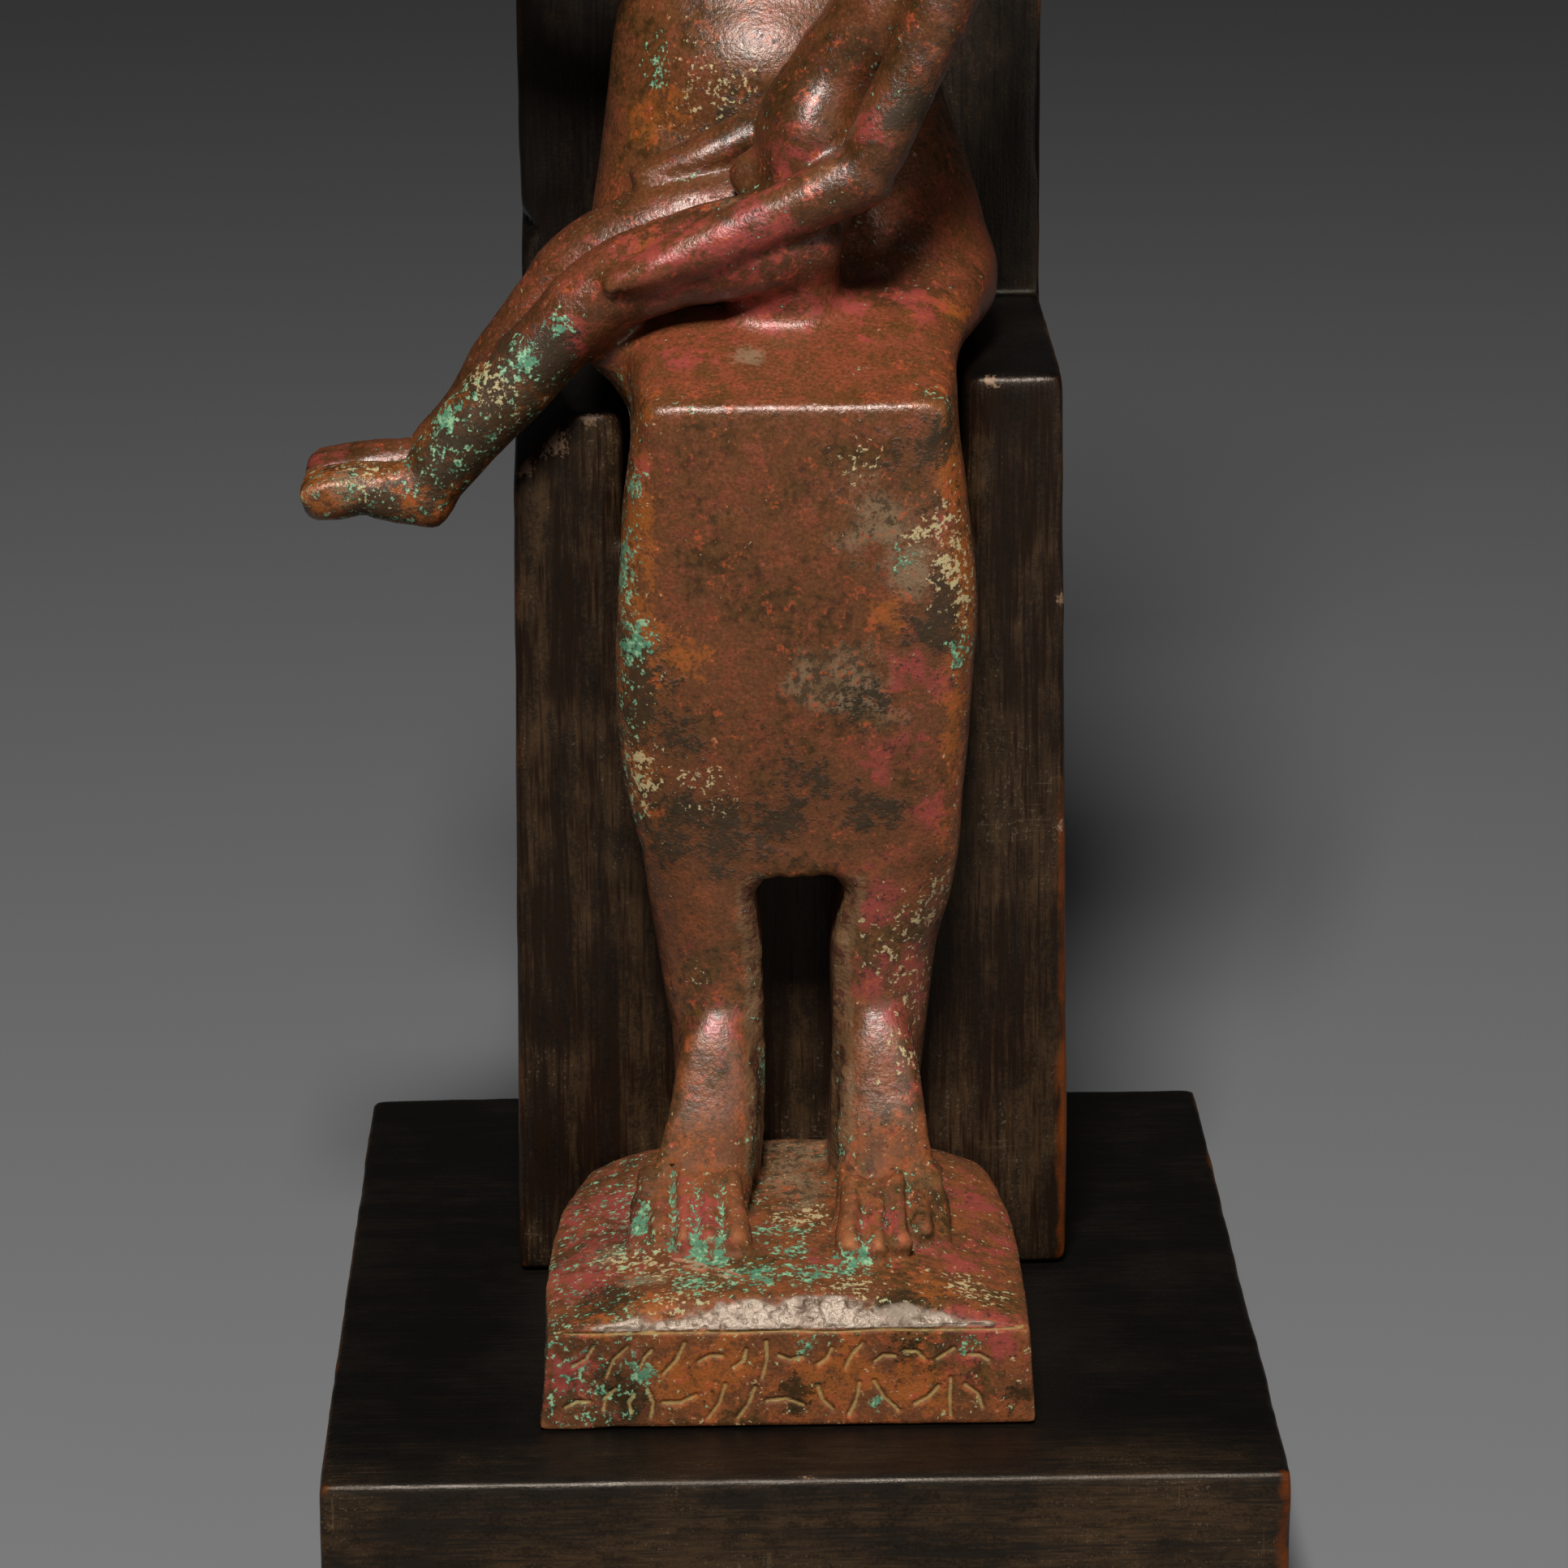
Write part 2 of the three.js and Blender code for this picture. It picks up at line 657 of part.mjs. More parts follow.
// One of the child's arms, bent at the hip, with the hand laid flat towards the knee.
function childArm(sign) {
  const y = CHILD.y + sign * 6.9;
  const lift = sign > 0 ? 3.1 : 0;
  const upper = limb(
    [
      [12, CHILD.y + sign * 5.8, KNEE + 33.6, 3.1, 3.2],
      [8.6, y, KNEE + 23, 2.8, 3],
      [5.4 - lift, y, KNEE + 16.2 + lift * 0.8, 2.6, 2.7],
    ],
    [0, 1, 0],
    8,
    4,
  );
  const fore = limb(
    [
      [5.6 - lift, y, KNEE + 16.1 + lift * 0.8, 2.5, 2.6],
      [-0.8, y - 0.4, KNEE + 13.8 + lift * 1.2, 2.1, 2.2],
      [-7.4, y - 0.5, KNEE + 11.2 + lift * 1.8, 1.9, 1.9],
      [-11, y - 0.5, KNEE + 9.8 + lift * 1.8, 2.1, 1.5],
      [-15, y - 0.5, KNEE + 8.3 + lift * 1.8, 1.6, 0.9],
    ],
    [0, 1, 0],
    8,
  );
  return upper.add(fore);
}

function child() {
  const y = CHILD.y;
  const body = limb(
    [
      [CHILD.hip, y, KNEE + 11.6, 6.1, 4.2],
      [CHILD.hip + 1.7, y, KNEE + 18, 5.7, 4.7],
      [CHILD.hip + 5, y, KNEE + 24.6, 5.1, 4.5],
      [CHILD.hip + 9, y, KNEE + 30.4, 5.9, 4.7],
      [CHILD.hip + 12.1, y, KNEE + 35.4, 4.6, 3.2],
    ],
    [0, 1, 0],
    14,
    8,
  );
  const web = ellipsoid([-0.8, y - 0.6, KNEE + 7.6], [5.4, 5.4, 3.8], 10);
  const neck = limb(
    [
      [CHILD.hip + 12.3, y, KNEE + 36, 2.9, 2.9],
      [CHILD.hip + 15.7, y, KNEE + 41, 2.8, 2.8],
    ],
    [0, 1, 0],
    8,
  );
  const skull = limb(
    [
      [CHILD.hip + 14.3, y, KNEE + 42.4, 3.8, 4],
      [CHILD.hip + 17.3, y, KNEE + 44.8, 5.3, 5.6],
      [CHILD.hip + 20.3, y, KNEE + 47.4, 4.7, 4.9],
    ],
    [0, 1, 0],
    12,
    4,
  );
  const sidelock = limb(
    [
      [CHILD.hip + 20.3, y + 4.6, KNEE + 46, 1.3, 1.5],
      [CHILD.hip + 19.7, y + 6, KNEE + 40, 1.2, 1.3],
      [CHILD.hip + 16.7, y + 6.6, KNEE + 36, 1, 1],
    ],
    [0, 1, 0],
    6,
  );
  return unite([
    body,
    web,
    neck,
    skull,
    sidelock,
    childLeg(CHILD.near, 0),
    childLeg(CHILD.far, CHILD.farRise),
    childArm(-1),
    childArm(1),
  ]);
}

function bronze() {
  return geometryOf(
    unite([
      footrest(),
      foot(-1),
      foot(1),
      lowerLeg(-1),
      lowerLeg(1),
      shins(),
      thighs(),
      torso(),
      head(),
      headdress(),
      arms(),
      child(),
    ]),
  );
}

function named(name, geometry, material) {
  const mesh = new THREE.Mesh(geometry, material);
  mesh.name = name;
  return mesh;
}

const statuette = new THREE.Group();
const onBase = new THREE.Group();
onBase.position.z = BASE.height;
onBase.add(named("throne", throne(), WOOD), named("isis_and_child", bronze(), BRONZE));
statuette.add(named("base", base(), WOOD), onBase);

export default statuette;
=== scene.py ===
import math

import bmesh
import bpy
import numpy as np
import openvdb
from mathutils import Matrix, Vector


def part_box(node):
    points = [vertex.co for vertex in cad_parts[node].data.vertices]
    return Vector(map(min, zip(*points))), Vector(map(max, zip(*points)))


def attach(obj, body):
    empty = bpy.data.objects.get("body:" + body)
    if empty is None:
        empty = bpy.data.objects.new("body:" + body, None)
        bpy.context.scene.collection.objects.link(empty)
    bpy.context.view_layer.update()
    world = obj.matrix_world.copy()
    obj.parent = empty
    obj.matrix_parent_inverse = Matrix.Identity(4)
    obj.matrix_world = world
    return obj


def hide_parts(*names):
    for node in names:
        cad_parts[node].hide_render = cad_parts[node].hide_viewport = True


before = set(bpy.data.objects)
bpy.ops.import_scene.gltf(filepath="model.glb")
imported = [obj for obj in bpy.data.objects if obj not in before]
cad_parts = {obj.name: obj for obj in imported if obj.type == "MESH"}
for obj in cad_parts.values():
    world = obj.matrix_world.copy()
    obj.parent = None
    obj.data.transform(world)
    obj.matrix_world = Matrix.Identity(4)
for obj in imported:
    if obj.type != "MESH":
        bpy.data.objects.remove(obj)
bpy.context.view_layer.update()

# Lengths are millimetres. Everything above the wooden base is drawn from the base's top, at z = 0.
BASE = {"width": 78.0, "depth": 89.6, "height": 15.0}
THRONE = {
    "width": 48.0,
    "depth": 40.0,
    "seat_top": 79.7,
    "back_thick": 8.2,
    "back_top": 132.0,
    "taper": 1.0,
}
BACKREST_Y = THRONE["depth"] - THRONE["back_thick"]
NOTCH = {"half": 14.1, "centre": 0.35, "floor": 66.0}
LEFT_ARM = {"top": 76.7, "across": 5.2, "down": 5.6, "back": 16.0}
# Bruises on the wood's edges, each a place and three radii
THRONE_CHIPS = [
    ([23.9, -0.4, 52.0], [0.9, 1.0, 3.2]),
    ([23.8, -0.5, 45.5], [0.7, 0.9, 1.8]),
    ([24.2, -0.5, 20.0], [0.8, 0.8, 1.5]),
    ([-24.4, -0.5, 30.0], [0.8, 0.8, 2.0]),
    ([-22.6, -0.6, 72.3], [2.2, 0.8, 0.9]),
    ([-19.4, -0.5, 76.8], [1.4, 0.9, 0.7]),
    ([18.0, -0.5, 80.0], [1.8, 0.8, 0.5]),
    ([-23.3, 36.0, 132.3], [0.9, 1.6, 0.8]),
    ([23.5, 39.8, 110.0], [0.8, 0.8, 2.4]),
]
BASE_CHIPS = [
    ([-31.0, -45.2, 0.3], [2.2, 0.8, 0.7]),
    ([12.5, -45.2, 0.4], [1.4, 0.7, 0.7]),
    ([39.3, -30.0, 0.3], [0.7, 2.0, 0.7]),
    ([38.9, -44.9, -6.0], [0.8, 0.8, 2.2]),
    ([-39.2, 20.0, 0.3], [0.7, 2.6, 0.7]),
]

# Footrest cast with the figure
REST_FRONT_Y = -34.7
REST_BACK_Y = -0.4
REST_EDGE = 8.4
REST_ARCH = 2.6
REST_HALF = 20.3
REST_WORN = 2.3

# The goddess's levels above the base's top. Those from the waist up are counted in units.
UNIT = 13.0
FIGURE_X = 0.4
SOLE = 11.0
HEM = 40.0
KNEE = 80.9
SEAT = 66.3
WOOD_GAP = 0.5
HIP = KNEE + 3.0
WAIST = KNEE + 2.95 * UNIT
SHOULDER = KNEE + 5.6 * UNIT
CHIN = KNEE + 6.45 * UNIT
CROWN = CHIN + 2.6 * UNIT
KNEE_FRONT = -15.3
HIP_HALF = 17.4
HEAD = {"x": -0.5, "y": 18.2, "half": 9.3, "front": 8.0, "back": 29.4, "wig": 14.2}
MODIUS = {"bottom": CROWN - 4.0, "top": CROWN + 4.5, "low": 8.4, "high": 9.2}
DISC = {"radius": 11.5, "thick": 3.2, "z": MODIUS["top"] + 11.0}
HORN = {"root": 2.2, "tip": 0.8, "spread": 14.4, "height": 37.0}
CHILD = {"y": 0.4, "hip": 0.6, "near": -3.9, "far": 4.4}

# The grids' cells, how far from a surface distances are kept, and the spacing of a mesh's rings
VOXEL = 0.3
WOOD_VOXEL = 0.4
BAND = 2.7
STEP = 0.8

# The most triangles that each piece may have
MOST = {"isis_and_child": 196000, "throne": 60000, "base": 40000}


# Meshes in numpy, each a pair of points and triangles
def slopes(x, y, keep_level):
    """Tangents for a curve through y at x. With keep_level it never runs past its points."""
    chord = np.diff(y, axis=0) / np.diff(x)[:, None]
    tangent = np.concatenate([chord[:1], (chord[:-1] + chord[1:]) / 2, chord[-1:]])
    if keep_level:
        product = chord[:-1] * chord[1:]
        total = chord[:-1] + chord[1:]
        inner = np.where(product > 0, 2 * product / np.where(total == 0, 1, total), 0)
        tangent[1:-1] = inner
    return tangent


def curve(x, y, at, keep_level=True):
    """The smooth curve through y at x, read off at other places."""
    x = np.asarray(x, float)
    y = np.asarray(y, float)
    tangent = slopes(x, y, keep_level)
    i = np.clip(np.searchsorted(x, at) - 1, 0, len(x) - 2)
    width = (x[i + 1] - x[i])[:, None]
    t = (np.asarray(at)[:, None] - x[i][:, None]) / width
    low = (1 + 2 * t) * (1 - t) ** 2 * y[i] + t * (1 - t) ** 2 * width * tangent[i]
    high = t * t * (3 - 2 * t) * y[i + 1] + t * t * (t - 1) * width * tangent[i + 1]
    return low + high


def loft(rings):
    """A closed mesh through rings of equal length, with a point in the middle of each end."""
    rings = np.asarray(rings)
    steps, count = rings.shape[:2]
    points = np.concatenate([rings.reshape(-1, 3), rings[[0, -1]].mean(axis=1)])
    here = np.arange(count)
    after = (here + 1) % count
    faces = []
    for step in range(steps - 1):
        low = step * count
        high = low + count
        faces.append(np.stack([low + here, low + after, high + after], 1))
        faces.append(np.stack([low + here, high + after, high + here], 1))
    last = (steps - 1) * count
    tip = steps * count
    faces.append(np.stack([np.full(count, tip), after, here], 1))
    faces.append(np.stack([np.full(count, tip + 1), last + here, last + after], 1))
    return points, np.concatenate(faces)


def superellipse(power, count=72):
    angle = 2 * np.pi * (np.arange(count) + 0.5) / count
    bend = [np.sign(w) * np.abs(w) ** (2 / power) for w in (np.cos(angle), np.sin(angle))]
    return np.stack(bend, 1)


def stack(sections, step=STEP):
    """Level sections, each [z, centre x, half width, front y, back y, power]."""
    rows = np.array(sections, float)
    levels = np.linspace(rows[0, 0], rows[-1, 0], max(2, int((rows[-1, 0] - rows[0, 0]) / step) + 1))
    rings = []
    for z, (x, half, front, back, power) in zip(levels, curve(rows[:, 0], rows[:, 1:], levels)):
        shape = superellipse(power)
        across = x + half * shape[:, 0]
        depth = (front + back) / 2 + (back - front) / 2 * shape[:, 1]
        rings.append(np.stack([across, depth, np.full(len(shape), z)], 1))
    return loft(rings)


def shelf(sections, step=STEP):
    """Upright sections across the depth, each [y, centre x, half width, bottom z, top z, power]."""
    points, faces = stack(sections, step)
    return points[:, [0, 2, 1]], faces[:, ::-1]


def limb(stations, side=(0, 1, 0), power=2.0, step=STEP):
    """A limb through [x, y, z, radius along side, radius across it], with round ends."""
    rows = np.array(stations, float)
    reach = np.concatenate([[0], np.cumsum(np.linalg.norm(np.diff(rows[:, :3], axis=0), axis=1))])
    at = np.linspace(0, reach[-1], max(4, int(reach[-1] / step)))
    centre = curve(reach, rows[:, :3], at, keep_level=False)
    radii = curve(reach, rows[:, 3:5], at)
    along = np.gradient(centre, axis=0)
    along /= np.linalg.norm(along, axis=1)[:, None]
    turns = np.radians([80, 64, 48, 32, 16])
    cap_depth = 0.85
    start = [(0, -math.sin(turn), math.cos(turn)) for turn in turns]
    body = [(i, 0.0, 1.0) for i in range(len(at))]
    end = [(len(at) - 1, math.sin(turn), math.cos(turn)) for turn in turns[::-1]]
    shape = superellipse(power, 40)
    rings = []
    for i, push, shrink in start + body + end:
        across = np.array(side, float) - np.dot(side, along[i]) * along[i]
        across /= np.linalg.norm(across)
        up = np.cross(along[i], across)
        middle = centre[i] + along[i] * push * cap_depth * radii[i].min()
        spread = shape * radii[i] * shrink
        rings.append(middle + spread[:, :1] * across + spread[:, 1:] * up)
    return loft(rings)


def ellipsoid(centre, radii, turn=0.0):
    """A ball with three radii, turned by some degrees about the vertical."""
    tilts = np.linspace(-85, 85, 24)
    ring = superellipse(2, 40)
    rings = [
        np.stack([ring[:, 0] * math.cos(a), ring[:, 1] * math.cos(a), np.full(40, math.sin(a))], 1)
        for a in np.radians(tilts)
    ]
    points, faces = loft(rings)
    points = points * radii
    c, s = math.cos(math.radians(turn)), math.sin(math.radians(turn))
    points = points @ np.array([[c, s, 0], [-s, c, 0], [0, 0, 1]])
    return points + centre, faces


def prism(outline, start, end, axes=(0, 1, 2)):
    """An outline of two coordinates pushed along a third; axes name which ones they are."""
    rings = []
    for far in np.linspace(start, end, 3):
        ring = np.zeros((len(outline), 3))
        ring[:, axes[0]] = [p[0] for p in outline]
        ring[:, axes[1]] = [p[1] for p in outline]
        ring[:, axes[2]] = far
        rings.append(ring)
    return loft(rings)


def cuboid(low, high):
    corners = [(low[0], low[1]), (high[0], low[1]), (high[0], high[1]), (low[0], high[1])]
    return prism(corners, low[2], high[2])


def blurred(field, times):
    """A copy of an array, smoothed along each of its axes."""
    field = field.copy()
    for _ in range(times):
        for axis in range(3):
            d = np.moveaxis(field, axis, 0)
            d[1:-1] = (d[:-2] + 2 * d[1:-1] + d[2:]) / 4
    return field


LATTICE = 32


def lattice(seed):
    return np.random.default_rng(seed).uniform(-1, 1, (LATTICE, LATTICE, LATTICE)).astype(np.float32)


def noise_at(points, size, seed):
    """Smooth noise between -1 and 1 at points, its bumps some millimetres apart."""
    values = lattice(seed)
    at = np.asarray(points, np.float32) / size + 100.37
    cell = np.floor(at).astype(int)
    part = at - cell
    part = part * part * (3 - 2 * part)
    total = np.zeros(len(at), np.float32)
    for corner in np.ndindex(2, 2, 2):
        weight = np.prod(np.where(corner, part, 1 - part), axis=1)
        i, j, k = ((cell + corner) % LATTICE).T
        total += weight * values[i, j, k]
    return total


def noise_on_axes(axes, size, seed):
    """The same noise on a whole grid, from the grid's places along each axis."""
    values = lattice(seed)
    for axis, places in enumerate(axes):
        at = np.asarray(places, np.float32) / size + 100.37
        cell = np.floor(at).astype(int)
        part = at - cell
        part = part * part * (3 - 2 * part)
        shape = [1, 1, 1]
        shape[axis] = len(part)
        part = part.reshape(shape)
        low = np.take(values, cell % LATTICE, axis=axis)
        high = np.take(values, (cell + 1) % LATTICE, axis=axis)
        values = low + (high - low) * part
    return values


class Casting:
    """A solid kept as distances on a grid, below zero inside, so that parts can flow together."""

    def __init__(self, low, high, voxel=VOXEL):
        self.voxel = voxel
        self.low = np.floor(np.array(low) / voxel).astype(int)
        size = np.ceil(np.array(high) / voxel).astype(int) - self.low
        self.distance = np.full(size, BAND, np.float32)

    def measured(self, mesh):
        """The distances to one mesh, and the part of the grid that they belong to."""
        points, faces = mesh
        grid = openvdb.FloatGrid.createLevelSetFromPolygons(
            np.ascontiguousarray(points, np.float32),
            triangles=np.ascontiguousarray(faces, np.uint32),
            transform=openvdb.createLinearTransform(voxelSize=self.voxel),
            halfWidth=BAND / self.voxel,
        )
        edge = int(BAND / self.voxel) + 2
        low = np.maximum(np.floor(points.min(axis=0) / self.voxel).astype(int) - edge, self.low)
        high = np.ceil(points.max(axis=0) / self.voxel).astype(int) + edge
        high = np.minimum(high, self.low + self.distance.shape)
        values = np.empty(high - low, np.float32)
        grid.copyToArray(values, ijk=tuple(int(v) for v in low))
        place = tuple(slice(a, b) for a, b in zip(low - self.low, high - self.low))
        return place, values

    def add(self, mesh, blend=0.5):
        place, other = self.measured(mesh)
        mine = self.distance[place]
        share = np.clip(0.5 + 0.5 * (other - mine) / blend, 0, 1)
        mine[...] = other + (mine - other) * share - blend * share * (1 - share)

    def cut(self, mesh, blend=0.3):
        place, other = self.measured(mesh)
        mine = self.distance[place]
        share = np.clip(0.5 - 0.5 * (other + mine) / blend, 0, 1)
        mine[...] = mine + (-other - mine) * share + blend * share * (1 - share)

    def soften(self, times=1):
        """Round every edge off a little."""
        self.distance = blurred(self.distance, times)

    def wear(self, most, seed):
        """Rub the outer edges away, unevenly from place to place."""
        soft = blurred(self.distance, 6)
        axes = [np.arange(a, a + n) * self.voxel for a, n in zip(self.low, self.distance.shape)]
        patchy = noise_on_axes(axes, 9.0, seed) + 0.5 * noise_on_axes(axes, 3.0, seed + 1)
        share = np.clip(0.55 + 0.5 * patchy, 0.1, 1) * most
        self.distance += np.clip(soft - self.distance, 0, None) * share

    def mesh(self):
        grid = openvdb.FloatGrid(BAND)
        grid.transform = openvdb.createLinearTransform(voxelSize=self.voxel)
        grid.copyFromArray(self.distance, ijk=tuple(int(v) for v in self.low))
        points, triangles, quads = grid.convertToPolygons(0.0, 0.0)
        return points, [*quads.tolist(), *triangles.tolist()]

    def bulge(self, points, times=3):
        """Above zero near outer edges and below zero in hollows, in millimetres."""
        every = max(1, round(0.6 / self.voxel))
        soft = blurred(self.distance[::every, ::every, ::every], times)
        at = points / (every * self.voxel) - self.low / every
        cell = np.clip(np.floor(at).astype(int), 0, np.array(soft.shape) - 2)
        part = at - cell
        total = np.zeros(len(at))
        for corner in np.ndindex(2, 2, 2):
            weight = np.prod(np.where(corner, part, 1 - part), axis=1)
            i, j, k = (cell + corner).T
            total += weight * soft[i, j, k]
        return total


# The goddess, her footrest and the child, cast in one piece
def footrest():
    """A block with an arched top, its front edge worn back along the middle."""
    rings = []
    side = np.linspace(1, -1, 49)
    worn = REST_WORN * np.clip(1 - (side / 0.85) ** 2, 0, 1)
    for t in np.concatenate([[0, 0.016, 0.032], np.linspace(0.048, 1, 40)]):
        y = REST_FRONT_Y + (REST_BACK_Y - REST_FRONT_Y) * t
        centre = -1.2 + 0.6 * t * t
        half = REST_HALF - 3.0 * t**4
        edge = REST_EDGE + 1.4 * t
        arch = REST_ARCH * (1 - np.abs(side) ** (2 + 1.2 * t))
        top = edge + arch - worn * np.clip(1 - t / 0.044, 0, 1)
        x = np.concatenate([[centre - half, centre, centre + half], centre + side * (half - 0.6)])
        z = np.concatenate([[0, 0, 0], top])
        rings.append(np.stack([x, np.full(len(x), y), z], 1))
    return loft(rings)


def foot(sign):
    """One foot without its toes, from its long slanting instep to the heel."""
    sole = SOLE - 1.2
    ankle, ball = (-6.5, -9.3) if sign < 0 else (7.0, 7.9)
    sections = [
        [-23.0, 0.95, 4.0, 0.1, 2.6],
        [-21.6, 1.0, 4.6, 0.6, 2.6],
        [-19.8, 0.97, 4.9, 1.7, 2.6],
        [-18.4, 0.88, 4.8, 3.1, 2.4],
        [-17.2, 0.76, 4.5, 4.6, 2.3],
        [-16.2, 0.6, 4.3, 6.4, 2.3],
        [-15.3, 0.46, 4.1, 8.8, 2.3],
        [-14.4, 0.32, 3.9, 11.3, 2.4],
        [-13.7, 0.2, 3.8, 13.3, 2.5],
        [-13.0, 0.12, 3.7, 15.0, 2.6],
        [-12.0, 0.06, 3.6, 16.4, 2.6],
        [-10, 0, 3.4, 16.8, 2.6],
        [-1.4, 0, 2.6, 9, 2.2],
    ]
    rows = [
        [y, ankle + (ball - ankle) * share, half, sole, SOLE + rise, power]
        for y, share, half, rise, power in sections
    ]
    return shelf(rows, step=0.4)


# Each foot's toes from the big toe outwards: their middles, and how far forward they reach
TOES = {
    -1: [(-5.3, -25.0), (-7.5, -25.0), (-9.45, -24.5), (-11.35, -22.4), (-13.1, -18.6)],
    1: [(4.3, -26.6), (6.45, -26.7), (8.35, -25.7), (10.15, -23.0), (11.8, -19.2)],
}


def toe_grooves(sign):
    """Stations of the thin grooves from the instep's foot to between the four inner toes' tips."""
    for (x, tip_y), (next_x, next_tip) in zip(TOES[sign][:-2], TOES[sign][1:-1]):
        middle = (x + next_x) / 2
        front = max(tip_y, next_tip)
        root_y = min(front + 6.0, -16.6)
        yield [
            [middle, root_y + 0.6, SOLE + 5.0, 0.26, 0.5],
            [middle, root_y - 1.8, SOLE + 3.6, 0.32, 0.9],
            [middle, front + 1.4, SOLE + 2.5, 0.34, 1.0],
            [middle, front - 1.4, SOLE + 1.9, 0.36, 1.1],
        ]


def toes(sign):
    """Five long toes side by side, the big toe on the inner side."""
    ball = -9.3 if sign < 0 else 7.9
    for i, (x, tip_y) in enumerate(TOES[sign]):
        radius = 1.35 if i == 0 else 1.17 - 0.03 * i
        knuckle = x + (ball - x) * 0.12
        root_y = min(tip_y + 7.5, -15.4)
        yield limb(
            [
                [knuckle, root_y, SOLE + 3.9, radius * 0.9, radius * 0.9],
                [knuckle, root_y - 2.4, SOLE + 2.8, radius, radius],
                [x, tip_y + 2.2, SOLE + 1.6, radius, radius],
                [x, tip_y + 0.8, SOLE + 1.0, radius, radius],
            ],
            side=(1, 0, 0),
            step=0.4,
        )


# Below the skirt's middle: z, centre x, half width, front y, back y, power
LEG_LEVELS = [
    [SOLE, -0.5, 9.8, -10.2, -1.0, 3.6],
    [SOLE + 6, -0.05, 10.05, -10.7, -1.6, 3.6],
    [SOLE + 12, 0.45, 10.65, -11.1, -2.6, 3.6],
    [SOLE + 17, 0.35, 11.3, -11.8, -2.2, 3.7],
    [SOLE + 21, 0.3, 11.85, -12.2, -1.6, 3.9],
    [HEM - 3, 0.5, 12.8, -12.9, -1.1, 4.3],
    [HEM + 1, 0.55, 13.3, -13.4, -0.9, 4.6],
]
# The gap between the legs: z, left side x, right side x, front y
GAP_LEVELS = [
    [SOLE, -3.2, 2.7, -10.2],
    [SOLE + 6, -2.8, 3.0, -10.7],
    [SOLE + 12, -2.5, 3.2, -11.1],
    [SOLE + 21, -2.6, 3.1, -12.2],
    [HEM - 3, -3.1, 3.9, -12.9],
    [HEM + 1, -3.3, 4.6, -13.4],
]
GAP_CHAMFER = 1.4
GAP_CORNER = 2.4


def gap_between_legs():
    """What is cut away between the legs: upright sides, cut corners in front and an arched top."""
    levels = np.array(GAP_LEVELS)
    rings = []
    spring = HEM - GAP_CORNER
    straight = np.linspace(SOLE + 0.5, spring, 40)
    arched = spring + GAP_CORNER * np.sin(np.linspace(0.1, 1.5, 14))
    for z in np.concatenate([straight, arched]):
        left, right, front = curve(levels[:, 0], levels[:, 1:], [z])[0]
        share = np.clip((z - spring) / GAP_CORNER, 0, 1)
        close = 1.8 * (1 - math.sqrt(1 - share**2))
        left, right = left + close, right - close
        slant = GAP_CHAMFER * (1 - 0.55 * share**3)
        rings.append(
            [
                [left, 3, z],
                [left, front + slant, z],
                [left - slant, front - 0.05, z],
                [left - slant - 2.5, front - 3, z],
                [right + slant + 2.5, front - 3, z],
                [right + slant, front - 0.05, z],
                [right, front + slant, z],
                [right, 3, z],
            ]
        )
    return loft(rings)


def skirt():
    x = FIGURE_X
    points, faces = stack(
        LEG_LEVELS
        + [
            [HEM + 8, x - 0.2, 14.2, -14.3, -0.7, 4.6],
            [HEM + 15, x - 0.2, 14.7, -14.9, -0.6, 4.8],
            [HEM + 22, x, 14.9, -15.3, -0.6, 5],
            [HEM + 31, x, 14.2, -15.6, -0.6, 5],
            [KNEE - 4, x, 13.4, -15.6, -0.6, 6],
            [KNEE - 0.6, x, 12.5, KNEE_FRONT - 0.15, -0.6, 8],
            [KNEE, x, 12.0, KNEE_FRONT + 0.3, -2, 8],
        ],
        step=0.5,
    )
    # Below the hem the front swells over each leg and falls back beside it
    middle = np.where(points[:, 0] < 0, -6.4, 7.0)
    beside = np.clip(np.abs(points[:, 0] - middle) / 4, 0, 1.3) ** 2
    below = np.clip((HEM + 2 - points[:, 2]) / 9, 0, 1)
    in_front = points[:, 1] < -6
    points[:, 1] += np.where(in_front, 1.2 * beside * below, 0)
    return points, faces


def thighs():
    x = FIGURE_X
    in_notch = NOTCH["half"] - WOOD_GAP
    core = shelf(
        [
            [KNEE_FRONT + 0.2, x, 12, KNEE - 3, KNEE - 0.1, 8],
            [-8, x, in_notch - 0.2, KNEE - 9, KNEE + 2.9, 6],
            [1, x, in_notch, SEAT, KNEE + 6.3, 6],
            [12, x, in_notch, SEAT, KNEE + 8.5, 5],
            [29, x, in_notch - 1.5, SEAT, KNEE + 7, 4],
        ]
    )
    above_arms = THRONE["seat_top"] + WOOD_GAP
    flare = shelf(
        [
            [-6, x, 13.2, KNEE - 0.6, KNEE + 3, 3],
            [1, x, 14.6, above_arms, KNEE + 6, 3],
            [8, x, 16.6, above_arms, KNEE + 8.4, 3],
            [15, x, HIP_HALF, above_arms, KNEE + 9.6, 2.8],
            [22, x, HIP_HALF, above_arms, KNEE + 9.6, 2.8],
            [28.5, x, HIP_HALF - 2, above_arms, KNEE + 8, 2.6],
            [31, x, HIP_HALF - 5, above_arms + 1, KNEE + 6, 2.4],
        ]
    )
    return core, flare


